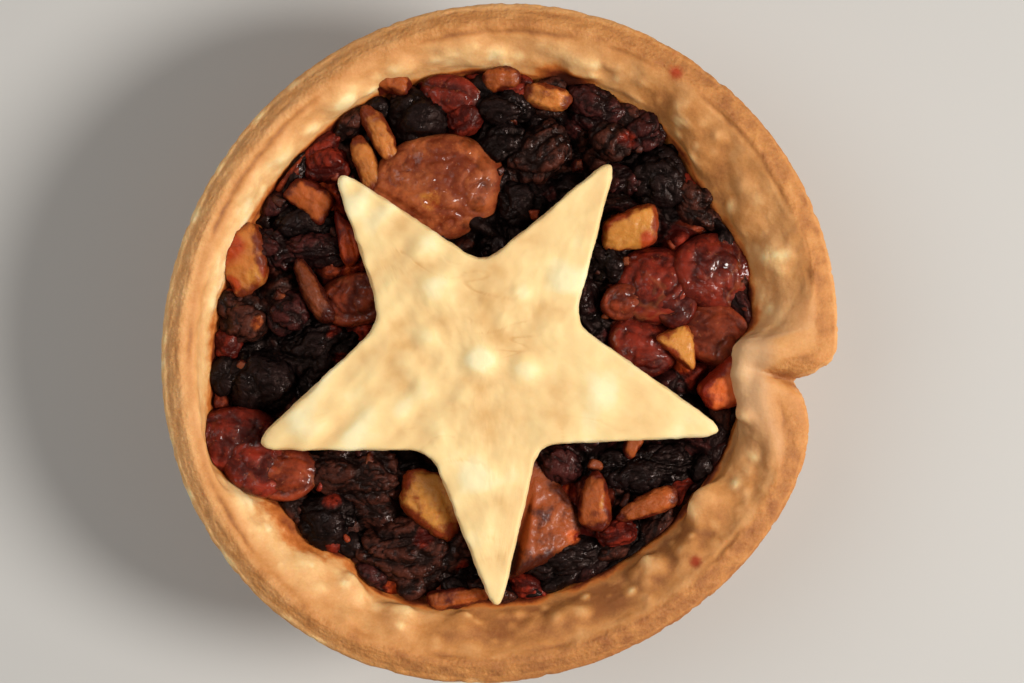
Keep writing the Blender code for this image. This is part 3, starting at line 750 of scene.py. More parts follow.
def raisin_finish():
    """Nearly black skin, wrinkled all over, with a soft sheen on its ridges that is partly painted as
    lighter colour, painted shade in its wrinkles, and wet sparkles.
    """
    made = Finish("raisin_skin")
    open_skin = made.plus(made.sum(made.wrinkles(0.9, 6.0), 0.55), made.sum(made.wrinkles(2.3, 5.0), 0.45))
    # The colour runs darker into the folds and wrinkles and lighter on the open skin: painted shade and
    # sheen.
    folded = made.plus(made.read("fold"), made.sum(open_skin, -0.5, 0.42))
    colour = made.skin(made.limits(folded, 0.05, 0.95))
    wet = made.limits(made.own_grain(1.1, 4.0, 0.6), 0.45, 0.68)
    normal = made.bump(open_skin, 0.09, 0.8)
    return made.set(
        Base_Color=colour, Roughness=made.sum(wet, -0.26, 0.50), Normal=normal, Coat_Normal=normal,
        Subsurface_Weight=0.08, Subsurface_Radius=(1.0, 0.35, 0.15), Subsurface_Scale=0.0012,
        Coat_Weight=made.times(wet, 0.2), Coat_Roughness=0.08, Specular_IOR_Level=0.15,
        Specular_Tint=WARM_GLOSS,
    )


def sultana_finish():
    """Translucent amber to red skin with thin pale ridges, tiny bubbles and a wet gloss."""
    made = Finish("sultana_skin")
    ridge = made.times(
        made.sum(made.wrinkles(0.20, 40.0), -1.0, 1.0), made.limits(made.own_grain(0.16, 1.0), 0.5, 0.6)
    )
    colour = made.skin(made.limits(made.varied("fold", made.own_grain(0.75, 6.0, 0.68), 2.6), -0.1, 1.0))
    pale = made.blend(0.3, made.read_colour("skin"), socket_colour((214, 140, 80)))
    specks = made.limits(made.own_grain(3.4, 2.0, 0.5), 0.62, 0.72)
    colour = made.blend(made.plus(made.times(ridge, 0.3), made.times(specks, 0.4)), colour, pale)
    skin = made.plus(made.sum(ridge, 0.25), made.sum(made.own_grain(1.5, 6.0, 0.72), 1.0))
    wet = made.limits(made.own_grain(0.6, 3.0, 0.6), 0.44, 0.66)
    syrup = made.bump(made.own_grain(1.2, 1.0, 0.3), 0.42)
    return made.set(
        Base_Color=colour, Roughness=made.sum(wet, -0.24, 0.5), Normal=made.bump(skin, 0.12, 0.8),
        Subsurface_Weight=0.25, Subsurface_Radius=(1.0, 0.3, 0.1), Subsurface_Scale=0.0014,
        Coat_Weight=made.times(wet, 0.55), Coat_Roughness=0.06, Coat_Normal=syrup,
        Specular_IOR_Level=0.2, Specular_Tint=WARM_GLOSS,
    )


def flesh_finish():
    """Cooked apple and peel: grainy flesh, soaked redder towards the edges of each piece."""
    made = Finish("apple_flesh")
    colour = made.skin(made.limits(made.varied("fold", made.own_grain(0.7, 5.0, 0.65), 2.2), 0.05, 0.8))
    grainy = made.plus(made.own_grain(1.8, 5.0, 0.65), made.sum(made.own_grain(5.0, 3.0), 0.4))
    return made.set(
        Base_Color=colour, Roughness=made.sum(made.own_grain(0.8, 3.0), -0.4, 0.62),
        Normal=made.bump(grainy, 0.16, 0.9), Specular_IOR_Level=0.18, Coat_Weight=0.07, Coat_Roughness=0.12,
        Subsurface_Weight=0.3, Subsurface_Radius=(1.0, 0.4, 0.15), Subsurface_Scale=0.0015,
    )


def distances(points, targets):
    """How far each point is, in plan, from the nearest of a set of targets."""
    tree = KDTree(len(targets))
    for n, target in enumerate(targets):
        tree.insert((target[0], target[1], 0.0), n)
    tree.balance()
    return np.array([tree.find((x, y, 0.0))[2] for x, y in points[:, :2].tolist()])


def along_line(points, start, end):
    """For each point: its share of the way along a line, its distance from it, and if it lies above."""
    start, along = np.array(start), np.subtract(end, start)
    away = points[:, :2] - start
    share = np.clip(away @ along / (along @ along), 0, 1)
    aside = np.linalg.norm(away - share[:, None] * along, axis=1)
    return share, aside, along[0] * away[:, 1] - along[1] * away[:, 0] < 0


def crease(points):
    """The depth of the groove between the two lobes of the pleat."""
    share, aside, _ = along_line(points, CREASE_FROM, CREASE_TO)
    return CREASE_DEPTH * (1 - 0.8 * share) * np.exp(-((aside / CREASE_WIDTH) ** 2))


def cut_edge_distance(points):
    """How far each point of the rim lies in from the pastry's cut edge, which curls round into the pleat."""
    bearings = np.arange(0.0, 360.0, 0.25)
    plain = distances(points, at(bearings, rim_radius(bearings), 0.0))
    share, aside, above = along_line(points, CREASE_FROM, CREASE_TO)
    return np.where(above, np.minimum(plain, aside + 0.3 + 2.6 * share**1.5), plain)


def case_form():
    """The bearing, radius and height of each point of the case, and which side of it the point is on."""
    bearing = np.arange(CASE_COLUMNS) / CASE_COLUMNS
    bearing = PLEAT_BEARING + 360 * bearing - np.degrees(PLEAT_CROWDING * np.sin(2 * np.pi * bearing))
    steps, controls = case_controls(bearing)
    grid = relaxed(smooth_rows(steps, controls), bearing)
    radius, height = away_from(grid), np.maximum(grid[..., 2], 0.0)
    around = bearing + turn_between(bearing_of(grid), bearing) * (radius > 1.0)
    row = from_rows(np.arange(len(radius))[:, None] + np.zeros(CASE_COLUMNS))
    first_wall, last_lip, last_edge = (sum(steps[:count]) for count in (4, 10, 16))
    return SimpleNamespace(
        around=from_rows(around), radius=from_rows(radius), height=from_rows(height),
        inside=(row >= first_wall) & (row <= last_lip), outside=row > last_edge,
        top=(row > last_lip - ROWS_BELOW_LIP) & (row <= last_edge),
        faces=wrapped_faces(CASE_COLUMNS, len(radius) - 2),
    )


def swollen(case):
    """The case's points, with the swellings of its inner face and the pleat's crease and domed strip."""
    around, radius, height = case.around, case.radius, case.height
    points = at(around, radius, height)
    rise = between(height, FILL_HEIGHT + 0.2, FILL_HEIGHT + 1.0) * (case.inside | case.top)
    case.inner = rise * between(radius, lip_radius(around) + 1.3, lip_radius(around) + 0.4)
    case.out = bumps(points, SWELLING_CENTRES, 3) * case.inner
    case.blisters = bumps(points, wall_bumps(seeded_bumps(*BLISTERS, 41))) * case.inner
    case.pearls = bumps(points, wall_bumps(seeded_bumps(*PEARLS, 43)), 3) * case.inner
    case.radius = radius - SWELL_IN * case.out
    highest = np.where(case.inside | case.top, rim_height(around) + 0.25, CEILING)
    case.height = np.minimum(height + SWELL_UP * case.out, highest)
    points = at(around, case.radius, case.height)
    case.groove = crease(points) * between(case.height, RIM_HEIGHT - 3.0, RIM_HEIGHT - 2.0)
    tongue = np.exp(-((along_line(points, TONGUE_FROM, TONGUE_TO)[1] / TONGUE_WIDTH) ** 2)) * ~case.outside
    dome = TONGUE_RISE * tongue * between(case.height, RIM_HEIGHT - 3.2, RIM_HEIGHT - 1.2)
    points[:, 2] += dome - case.groove
    return points


def find_cut_face(case, points):
    """Marks the crumbly band, the pale edge outside it and the fine ridge inside it."""
    cut = np.full(len(points), 9.0)
    cut[case.top] = cut_edge_distance(points[case.top])
    cut += 0.14 * noise(points, 0.9, 21) + 0.35 * between(np.cos(np.radians(case.around)), 0.1, 0.8)
    past = turn_between(case.around, PLEAT_BEARING)
    shown = np.where(past < 0, between(past, -2.5, -11.0), 1.0)
    case.band = between(cut, *BAND_START) * between(cut, *BAND_END) * case.top * shown
    case.pale_edge = between(cut, *BAND_START[::-1]) * case.top
    ridge = np.exp(-(((cut - RIDGE_PLACE) / RIDGE_WIDTH) ** 2))
    case.ridge = ridge * case.top * between(noise(points, 0.15, 13), -0.1, 0.4)


def case_relief(case, points):
    """How far the skin of the case stands out at each point."""
    lumps = rough(points, 0.36, 3, 2) * 0.11 + rough(points, 1.1, 7, 3) * 0.045
    crumbs = rough(points, 1.5, 11, 3) * 0.07 - folds(points, 1.3, 19, 2.4) * 0.05
    nicks = np.clip(noise(points, 0.8, 23) - 0.15, 0, 1) * 0.35
    nicks += np.clip(rough(points, 2.2, 29, 2), 0, 1) * 0.12
    dents = rough(points, 0.22, 31, 3) * 0.16 + rough(points, 1.3, 37, 2) * 0.03
    push = (lumps + case.blisters + case.pearls) * case.inner
    push += crumbs * (case.band + 0.4 * case.pale_edge) - 0.13 * case.ridge
    push -= (nicks + 0.05) * case.pale_edge
    return push + (dents - 0.18) * case.outside * between(case.height, 0.0, 1.5)


def soaked_juice_and_shade(case, points):
    """Juice and painted shade in the wall, from 0 to 1: the stains, and a thin line where it meets the
    fruit, juice and painted contact shadow both.
    """
    stain_and_shade = np.zeros(len(points))
    for middle, half, rise, strength in STAINS_AND_SHADE:
        near = spread_rows(case.around, [(middle, half, strength)])
        stain_and_shade = np.maximum(stain_and_shade, near * between(case.height, FILL_HEIGHT + rise, FILL_HEIGHT + 0.2))
    level = case.height + 0.3 * noise(points, 0.4, 43)
    # The line where the wall meets the fruit: juice and painted contact shadow.
    return np.maximum(stain_and_shade, 0.85 * between(level, FILL_HEIGHT + 0.7, FILL_HEIGHT - 0.3)) * case.inside


def juice_drops(case, points):
    drop = np.zeros(len(points))
    for x, y, size, strength in DROPS:
        near = np.exp(-((away_from(points, x, y) / size) ** 2))
        drop = np.maximum(drop, strength * near * (case.height > FILL_HEIGHT))
    return drop


def case_browning_and_shade(case, points):
    """How brown the pastry is, from 0 to 1, on its wall, its lip, its cut face and its outside, with painted
    light and shade.
    """
    around, height, lip_at = case.around, case.height, lip_radius(case.around)
    from_palest = np.cos(np.radians(around - PALEST_BEARING))
    # baked is partly browner baking and partly painted light and shade by side; wall, lip, cut face and pale
    # edge follow it
    baked = 0.27 * (1 - from_palest) + spread_rows(around, SIDE_BROWNING_AND_SHADE)
    wall = 0.24 + baked + 0.12 * noise(points, 0.35, 47)
    wall -= 0.8 * case.blisters + 4.6 * case.pearls + 0.22 * np.minimum(case.out, 1.5)
    lip = 0.74 - 0.22 * baked + 0.12 * noise(points, 0.4, 53)
    near_lip = between(case.radius, lip_at - 1.9, lip_at + 0.4)
    browning_and_shade = mix(wall, lip, near_lip * (1 - 0.6 * fold_share(around)))
    # The cut face is painted paler on the left, where it slopes away from the light: painted light.
    band = 0.68 + 0.25 * baked - 0.16 * between(from_palest, 0.3, 0.9) + 0.14 * noise(points, 0.7, 59)
    browning_and_shade = mix(browning_and_shade, band, case.band)
    flecks = 0.35 * between(noise(points, 0.6, 63), 0.1, 0.6)
    flecks *= between(np.cos(np.radians(around - 200)), -0.1, 0.5)
    # The pale cut edge is painted browner where baked is high, on the right and below, where the light falls
    # full on it: painted shade.
    browning_and_shade = mix(browning_and_shade, 0.36 + 0.7 * baked - flecks, case.pale_edge) + 0.24 * case.ridge
    shell = 0.56 + 0.16 * rough(points, 0.12, 61) + 0.10 * between(height, 12.0, 19.0)
    shell += 0.14 * between(case.radius, BASE_RADIUS - 4.0, BASE_RADIUS - 0.5) * between(height, 4.0, 0.5)
    browning_and_shade = np.where(case.outside, mix(browning_and_shade, shell, between(height, 19.2, 17.6)), browning_and_shade)
    # Browner in the pleat's crease: painted shade.
    return browning_and_shade + 0.25 * between(case.groove, 0.2, 1.0)


def build_crust():
    case = case_form()
    points = swollen(case)
    crust = new_piece("crust", points, case.faces)
    find_cut_face(case, points)
    points = points + normals_of(crust) * case_relief(case, points)[:, None]
    points[:, 2] = np.clip(points[:, 2], 0.0, CEILING)
    move_points(crust, points)
    lip_at = lip_radius(case.around)
    # Where the pleat's fold is painted greyer and darker: greyer dough and painted shade.
    fold_dough_and_shade = between(case.radius, lip_at + 3.4, lip_at + 1.4) * (case.inside | case.top) * (1 - case.band)
    mark(crust, "browning_and_shade", case_browning_and_shade(case, points))
    mark(crust, "juice_and_shade", soaked_juice_and_shade(case, points))
    mark(crust, "drop", juice_drops(case, points))
    mark(crust, "fold_dough_and_shade", fold_dough_and_shade * fold_share(case.around))
    mark(crust, "crumb", np.clip(case.band + 0.5 * case.pale_edge + 0.25 * case.outside, 0, 1))
    dress(crust, crust_finish(), "baked_pastry", "pastry_case")


def star_corner(bearing, reach):
    return at(bearing, reach, 0.0)[:2]


def side_reach(bearing, tip, valley):
    """How far a ray runs from the star's middle before it meets the straight side from valley to tip."""
    ray = star_corner(bearing, 1.0)
    start, end = star_corner(*valley), star_corner(tip[0], tip[1] + TIP_OVERRUN)
    side = end - start
    across = ray[0] * side[1] - ray[1] * side[0]
    return (start[0] * side[1] - start[1] * side[0]) / across if abs(across) > 1e-9 else tip[1]


def blend_max(a, b, width):
    """The larger of two values, rounded over where they meet."""
    near = max(0.0, 1 - abs(a - b) / width)
    return max(a, b) + near * near * width / 4


def star_reach(bearing):
    """The star's outline from its middle: straight sides, rounded valleys and blunt tips."""
    arm = min(range(5), key=lambda k: abs(turn_between(bearing, STAR_TIPS[k][0])))
    tip = STAR_TIPS[arm]
    past = turn_between(bearing, tip[0]) > 0
    valley = STAR_VALLEYS[arm] if past else STAR_VALLEYS[arm - 1]
    own = side_reach(bearing, tip, valley)
    other = side_reach(bearing, STAR_TIPS[(arm + 1) % 5] if past else STAR_TIPS[arm - 1], valley)
    reach = blend_max(own, other, 2.4) if other > 0 else own
    return -blend_max(-reach, -tip[1], TIP_OVERRUN)


ALL_BEARINGS = np.arange(-180.0, 180.01, 0.25)
ALL_REACHES = np.array([star_reach(bearing) for bearing in ALL_BEARINGS])


def beyond_star(points):
    """How far each point lies outside the star's outline, along its ray; negative inside."""
    reach = np.interp(bearing_of(points[:, :2] - STAR_CENTRE), ALL_BEARINGS, ALL_REACHES)
    return away_from(points, *STAR_CENTRE) - reach


def star_sag(points):
    """The height of the star's underside: its tips droop and it swells a little between them."""
    droop = STAR_TIP_DROOP * (away_from(points, *STAR_CENTRE) / STAR_REACH) ** 2
    return STAR_UNDERSIDE - droop + 0.2 * noise(points[:, :2] @ np.eye(2, 3) + (0, 0, 3.0), 0.16)


def star_bearings():
    """Bearings packed towards the tips, where the outline runs almost along the ray."""
    found = []
    shares = (np.arange(STAR_STEPS) / STAR_STEPS) ** 1.6
    for k in range(5):
        tip, after = STAR_TIPS[k][0], STAR_VALLEYS[k][0]
        following = STAR_TIPS[(k + 1) % 5][0]
        following += 360.0 if following < after else 0.0
        found += (tip + (after - tip) * shares).tolist()
        found += (following - (following - after) * np.append(shares[1:], 1.0)[::-1]).tolist()
    return np.array(found)


def star_rows():
    """Shares of the way out and of the thickness, from the middle of the underside to that of the top."""
    under = [(share, 0.0) for share in np.linspace(0, 0.93, 12)]
    side = [(0.965, 0.03), (0.982, 0.09), (0.992, 0.2), (0.998, 0.34), (1.0, 0.5), (1.0, 0.64)]
    corner = [(0.997, 0.76), (0.991, 0.86), (0.981, 0.93), (0.968, 0.975), (0.95, 0.995)]
    upper = [(share, 1.0) for share in np.linspace(0.93, 0, 62)]
    return under + side + corner + upper


def build_star():
    bearings = star_bearings()
    reaches = np.interp(turn_between(bearings, 0.0), ALL_BEARINGS, ALL_REACHES)
    rows = star_rows()
    flat = np.array([at(bearings, reaches * share, lift) for share, lift in rows])
    share = from_rows(np.array([np.full(len(bearings), s) for s, _ in rows]))
    points = from_rows(flat)
    lift = points[:, 2].copy()
    points[:, :2] += STAR_CENTRE
    points[:, 2] = star_sag(points) + (STAR_THICKNESS - STAR_SETTLED) * lift
    star = new_piece("star", points, wrapped_faces(len(bearings), len(rows) - 2))

    level = points * (1, 1, 0)
    centres = [(np.array((x, y, 0.0)), 0.9 * size, 1.6 * height) for x, y, size, height in STAR_BUMPS]
    raised = bumps(level, centres, 3)
    cracks = folds(level * (0.35, 1.0, 1.0), 0.55, 71, 14.0) * between(noise(level, 0.12, 73), 0.1, 0.5)
    upper = between(lift, 0.5, 1.0)
    side = between(share, 0.955, 0.99)
    slanting = np.stack([0.10 * (level[:, 0] + level[:, 1]), 0.42 * (level[:, 0] - level[:, 1])], axis=1)
    streaks = noise(slanting @ np.eye(2, 3), 1.0, 75) * between(level[:, 0], 2.0, -14.0)
    push = upper * (raised - 0.05 + 0.14 * rough(level, 0.3, 77, 3) + 0.02 * rough(level, 1.6, 79, 2))
    push += upper * (0.28 * streaks - 0.05 * cracks)
    push += side * (rough(points, 1.8, 83, 3) * 0.06 + rough(points, 0.5, 89, 2) * 0.07)
    points = points + normals_of(star) * push[:, None]
    points[:, 2] = np.minimum(points[:, 2], CEILING)
    move_points(star, points)
    tan = 0.46 + 0.20 * between(away_from(level, *STAR_CENTRE), 12.0, 4.0) + 0.34 * rough(level, 0.22, 91, 3)
    # Paler on the blisters and ripple crests, creamier pastry and painted highlight both; tanner in the
    # cracks, painted shade.
    tan += 0.2 * cracks - 1.3 * raised - 0.5 * streaks - 0.15 * side
    mark(star, "tan", np.where(lift < 0.3, 0.75, tan))
    mark(star, "crumb", side)
    dress(star, star_finish(), "pale_pastry", "pastry_star")


def own_axes(points, x, y, bearing):
    """Each point's place along and across a piece of fruit, from its middle."""
    return turned(points[:, 0] - x, points[:, 1] - y, -bearing)


def lump_rows():
    """An even spread of squashed fruit, in rows as for the whole fruit."""
    draw = np.random.default_rng(67)
    dark, juicy = ("black", "brown", "plum", "black", "brown"), ("red", "amber", "red", "rust")
    rows = []
    for n in range(LUMPS):
        bearing = n * EVEN_TURN % 360 + draw.uniform(-5, 5)
        x, y, _ = at(bearing, fill_radius(bearing) * math.sqrt((n + 0.5) / LUMPS), 0.0)
        in_pulp = any(math.hypot(x - a, y - b) < size for a, b, size in SULTANA_PULP)
        looks = juicy if in_pulp else dark
        size = (draw.uniform(3.2, 6.4), draw.uniform(2.4, 3.8))
        lie = (draw.uniform(0, 180), draw.uniform(-0.5, 0.5))
        rows.append((x, y, *size, *lie, looks[draw.integers(len(looks))]))
    return rows


def pressed_fruit(points, rows):
    """Lumps pressed together, from above: height, closeness to the crease between two, and owner."""
    first, second = np.full((2, len(points)), LUMP_FLOOR)
    owner = np.zeros(len(points), dtype=int)
    for n, row in enumerate(rows):
        near = np.flatnonzero(away_from(points, *row[:2]) < row[2])
        along, across = own_axes(points[near], *row[:2], row[4])
        height = row[5] + LUMP_RISE * (1 - ((2 * along / row[2]) ** 2 + (2 * across / row[3]) ** 2) ** 0.9)
        taller = height > first[near]
        second[near] = np.where(taller, first[near], np.maximum(second[near], height))
        first[near] = np.maximum(first[near], height)
        owner[near[taller]] = n
    crease = np.clip(1 - (first - second) / LUMP_CREASE, 0, 1)
    return first + crease**2 * 0.12, crease, owner


def under_fruit(points):
    """1 under each whole fruit, fading just outside it, so that each has a little dark room round it."""
    under = np.zeros(len(points))
    for row in RAISINS + CURRANTS + SULTANAS + APPLES + PEELS:
        along, across = own_axes(points, *row[:2], row[4])
        away = np.hypot(2 * along / row[2], 2 * across / row[3])
        under = np.maximum(under, between(away, 1.35, 1.05))
    return under


def pulp_rows():
    """The core's rows of points, still level at the top, and how many of them lie below the top."""
    bearings = 360.0 * np.arange(FILL_COLUMNS) / FILL_COLUMNS
    bottom = FLOOR_HEIGHT + GAP
    rows = [at(bearings, 0.0, bottom), at(bearings, FLOOR_RADIUS - 2.4, bottom)]
    levels = (bottom + 1.2, 9.6, FILL_HEIGHT - 1.8)
    rows += [at(bearings, inner_radius(bearings, level) - GAP - 0.1, level) for level in levels]
    edge = inner_radius(bearings, FILL_HEIGHT - 0.4) - 0.05
    top = [at(bearings, edge * share, 0.0) for share in np.linspace(1.0, 0.0, FILL_RINGS)]
    return np.array(rows + top), len(rows) - 1


def build_core():
    """The mincemeat's body, its top a relief of fruit pressed together."""
    rows, lower = pulp_rows()
    points = from_rows(rows)
    upper = np.arange(len(points)) > FILL_COLUMNS * lower
    top = points[upper]
    lumps = lump_rows()
    pressed, crease, owner = pressed_fruit(top, lumps)
    x, y, bearing = np.array([(row[0], row[1], row[4]) for row in lumps])[owner].T
    along, across = own_axes(top, x, y, bearing)
    skin_place = np.stack([0.55 * along, across, owner * 9.7], axis=1)
    long_folds = folds(skin_place, 0.45, 7, 2.2) ** 1.5
    short_folds = folds(skin_place, 1.1, 17, 2.6) ** 1.3
    fine_folds = folds(skin_place, 2.2, 27, 2.4)
    depth = (0.42 * long_folds + 0.22 * short_folds + 0.07 * fine_folds) * (1 - crease)
    share = np.clip(away_from(top) / fill_radius(bearing_of(top)), 0, 1)
    height = FILL_HEIGHT - PULP_DROP + FILL_DOME * (1 - share**3) + np.maximum(pressed, -1.2) - depth
    height += FILL_EDGE_RISE * between(share, 0.93, 1.0) - ROOM_DEPTH * under_fruit(top)
    points[upper, 2] = np.minimum(height, star_sag(top) - 0.6)
    core = new_piece("fruit_pulp", points, wrapped_faces(FILL_COLUMNS, len(rows) - 2))

    # Darker in the folds and in the creases between lumps: painted shade.
    fold = np.clip(0.6 * long_folds + 0.45 * short_folds + 0.2 * fine_folds + 0.9 * crease**2, 0, 1)
    light, dark = (np.array([linear(TONES[row[6]][k]) for row in lumps])[owner] for k in (0, 1))
    light = light * (1 + 0.3 * noise(top * (1, 1, 0), 0.3, 31)[:, None])
    looks = ((fold, 1.0), (owner * 1.37 % 40, 0.0), (light, 0.01), (dark, 0.01))
    mark_fruit(core, *(padded(values, upper, rest) for values, rest in looks))
    dress(core, raisin_finish(), "fruit_mincemeat", "mincemeat")


def padded(values, where, rest):
    """The values at the points that have them, and rest at the others."""
    whole = np.full((len(where), *values.shape[1:]), rest)
    whole[where] = values
    return whole


@cache
def unit_sphere(squares):
    """The points and the faces of a sphere, blown up from a cube with this many squares along each side."""
    grid = np.array(list(product(range(squares), repeat=2)))
    quads = []
    for axis, side in product(range(3), (0, squares)):
        corners = [np.insert(grid + step, axis, side, axis=1) for step in ((0, 0), (1, 0), (1, 1), (0, 1))]
        quads.append(np.stack(corners, axis=1))
    lattice = np.concatenate(quads)
    found, faces = np.unique(lattice @ ((squares + 1) ** np.arange(3)), return_inverse=True)
    steps = np.stack([found // (squares + 1) ** axis % (squares + 1) for axis in range(3)], axis=1)
    points = np.tan(np.pi / 4 * (2 * steps / squares - 1))
    return points / np.linalg.norm(points, axis=1, keepdims=True), faces.reshape(-1, 4)


def star_limit(points):
    """The highest that fruit may stand: under the star below its pastry, and rising away from it."""
    past = np.clip(beyond_star(points) - STAR_EDGE, 0, None)
    return star_sag(points) - STAR_CLEARANCE + past * RISE_PAST_STAR


def held_inside(points):
    """Moves fruit clear of the pastry case and of the star."""
    bearing, height = bearing_of(points), np.minimum(points[:, 2], star_limit(points))
    wall = inner_radius(bearing, height)
    room = wall - bumps(at(bearing, wall, height), SWELLING_CENTRES) * SWELLING_ROOM - FRUIT_GAP
    return at(bearing, np.minimum(away_from(points), room), height)


def placed(points, x, y, bearing, level, roll):
    """Rolls points about their length, turns them to a bearing and moves them to a place."""
    side, up = turned(points[:, 1], points[:, 2], roll)
    ahead, side = turned(points[:, 0], side, bearing)
    return np.stack([x + ahead, y + side, level + up], axis=1)


def unit_normals(sphere, half):
    normals = sphere / half
    return normals / np.linalg.norm(normals, axis=1, keepdims=True)


def dried(sphere, half, seed, deep):
    """A dried fruit, drawn into long and fine folds. Gives its points and how deep in a fold each is."""
    points = sphere * (1 + 0.13 * noise(sphere, 1.1, seed)[:, None]) * half
    long_folds = folds(points * (0.55, 1.0, 1.0), 0.40, seed + 11, 2.2) ** 1.5
    short_folds = folds(points * (0.8, 1, 1), 0.95, seed + 13, 2.6) ** 1.3
    fine_folds = folds(points, 2.0, seed + 17, 2.4)
    size = min(half[1], 3.0) / 3.0
    depth = deep * size * (0.50 * long_folds + 0.26 * short_folds + 0.10 * fine_folds)
    # fold darkens the skin's colour in the folds: painted shade.
    fold = np.clip(0.7 * long_folds + 0.5 * short_folds + 0.25 * fine_folds - 0.12, 0, 1)
    return points - unit_normals(sphere, half) * depth[:, None], fold


def plump(sphere, half, seed, deep):
    """A soaked sultana: full, with a few soft folds and, in places, a raised rim and a groove in it."""
    points = sphere * (1 + 0.08 * noise(sphere, 1.1, seed)[:, None]) * half
    out = np.hypot(sphere[:, 0], sphere[:, 1]) + 0.12 * noise(points, 0.25, seed + 5)
    partly = np.clip(1.5 * noise(points, 0.14, seed + 7) + 0.6, 0, 1)
    rim = np.exp(-(((out - 0.80) / 0.08) ** 2)) * partly
    groove = np.exp(-(((out - 0.62) / 0.10) ** 2)) * partly
    long_folds = folds(points * (0.5, 1.0, 1.0), 0.22, seed + 11, 4.0) ** 1.4
    short_folds = folds(points * (0.7, 1, 1), 0.6, seed + 13, 3.6) ** 1.4
    soft = noise(points, 0.35, seed + 19)
    inside = between(np.hypot(sphere[:, 0], sphere[:, 1]), 1.0, 0.7)
    fine_folds = folds(points, 1.5, seed + 17, 3.0)
    push = deep * (0.07 * rim - 0.07 * groove + 0.10 * soft)
    push -= deep * inside * (0.20 * long_folds + 0.16 * short_folds + 0.06 * fine_folds)
    # fold darkens the colour in the groove and folds and lightens it on the rim and swellings: painted shade
    # and highlight.
    fold = 0.36 + 0.2 * groove + 0.4 * long_folds + 0.25 * short_folds + 0.1 * fine_folds
    fold -= 0.4 * rim + 0.45 * soft
    points[:, 2] = np.sign(sphere[:, 2]) * np.abs(points[:, 2] / half[2]) ** 0.72 * half[2]
    return points + unit_normals(sphere, half) * push[:, None], np.clip(fold, 0, 1)


def cut_piece(sphere, half, seed, deep):
    """Cooked apple or peel: a cut wedge with softened corners, redder towards its sides."""
    power = 4.2 if half[0] < 1.6 * half[1] else 2.6
    block = sphere / (np.abs(sphere) ** power).sum(axis=1, keepdims=True) ** (1 / power)
    block = block * (1 + 0.11 * noise(sphere, 0.9, seed)[:, None])
    steepness = 0.36 if half[0] > half[1] else 0.72
    taper = 1 + steepness * math.sin(seed * 2.3) * block[:, :1]
    points = block * half * np.concatenate([np.ones_like(taper), taper, taper**0.4], axis=1)
    lean = 0.16 * math.cos(seed) * (block[:, 0] ** 2 - 0.4) + 0.22 * math.cos(seed * 1.7) * block[:, 0]
    points[:, 1] += half[1] * lean
    grain = rough(points, 1.3, seed + 3, 3) * 0.14 - folds(points, 0.7, seed + 5, 5.0) * 0.07
    aside = np.sort(np.abs(block[:, :2]), axis=1)[:, 1]
    fold = 0.9 * between(aside, 0.5, 1.0)
    fold += 0.6 * noise(points, 0.3, seed + 7) + 0.3 * noise(points, 1.2, seed + 9)
    return points + unit_normals(sphere, half) * (deep * grain)[:, None], np.clip(fold, 0, 1)


def fruit_colours(points, look, level, thickness, drift):
    """The colours of a fruit's skin and folds: darker low down, painted shade, with any patches that lie on
    it.
    """
    light, dark = (linear(rgb) for rgb in TONES[look])
    # Painted shade on the lower part of each fruit.
    low_shade = between(points[:, 2], level + 0.45 * thickness, level)[:, None]
    skin, deep = mix(light * drift, dark, 0.6 * low_shade), np.broadcast_to(dark, points.shape)
    for x, y, size, patch_look in PATCHES:
        away = away_from(points, x, y) + 0.35 * noise(points, 1.0, 97)
        share = between(away, size, size * 0.55)[:, None] * (points[:, 2:] > FILL_HEIGHT - 0.5)
        light, dark = (linear(rgb) for rgb in TONES[patch_look])
        skin, deep = mix(skin, light, share), mix(deep, dark, share)
    return skin, deep


def build_fruit(name, rows, form, flatness, depth, finish, seed, plumpness=PLUMPNESS):
    """All the fruit of one kind, as one mesh."""
    draw = np.random.default_rng(seed)
    points, faces, looks = [], [], []
    count = 0
    for n, (x, y, length, width, bearing, rise, look) in enumerate(rows):
        squares = int(np.clip(SQUARES_PER_MM * max(length, width), FEWEST_SQUARES, MOST_SQUARES))
        sphere, quads = unit_sphere(squares)
        thickness = max(2.2, flatness * math.sqrt(length * width))
        half = np.array((plumpness * length / 2, plumpness * width / 2, thickness / 2))
        shape, folded = form(sphere, half, seed + 7 * n, depth)
        highest = star_limit(np.array([[x, y, 0.0]]))[0] + 0.1
        level = min(FILL_HEIGHT + HEAP + rise, highest) - thickness / 2
        shape = held_inside(placed(shape, x, y, bearing, level, draw.uniform(-14, 14)))
        drift = 1 + 0.25 * noise(shape, 0.25, seed + n)[:, None] + draw.uniform(-0.10, 0.10)
        skin, deep = fruit_colours(shape, look, level, thickness, drift)
        points.append(shape)
        faces.append(quads + count)
        looks.append((folded, np.full(len(shape), draw.uniform(0, 40)), skin, deep))
        count += len(shape)
    piece = new_piece(name, np.concatenate(points), np.concatenate(faces).tolist())
    mark_fruit(piece, *(np.concatenate(values) for values in zip(*looks)))
    dress(piece, finish, "fruit_mincemeat")


def edge_scrap_rows():
    """Small bits of fruit pressed against the pastry all round."""
    draw = np.random.default_rng(101)
    looks = ("black", "plum", "brown", "black", "brown", "red")
    rows = []
    for n in range(EDGE_SCRAPS):
        bearing = (n + draw.uniform(-0.3, 0.3)) * 360.0 / EDGE_SCRAPS
        x, y, _ = at(bearing, fill_radius(bearing) - draw.uniform(0.6, 1.6), 0.0)
        size = (draw.uniform(2.8, 4.8), draw.uniform(1.8, 3.0))
        lie = (bearing + 90 + draw.uniform(-30, 30), draw.uniform(-0.9, -0.4))
        rows.append((x, y, *size, *lie, looks[n % len(looks)]))
    return rows


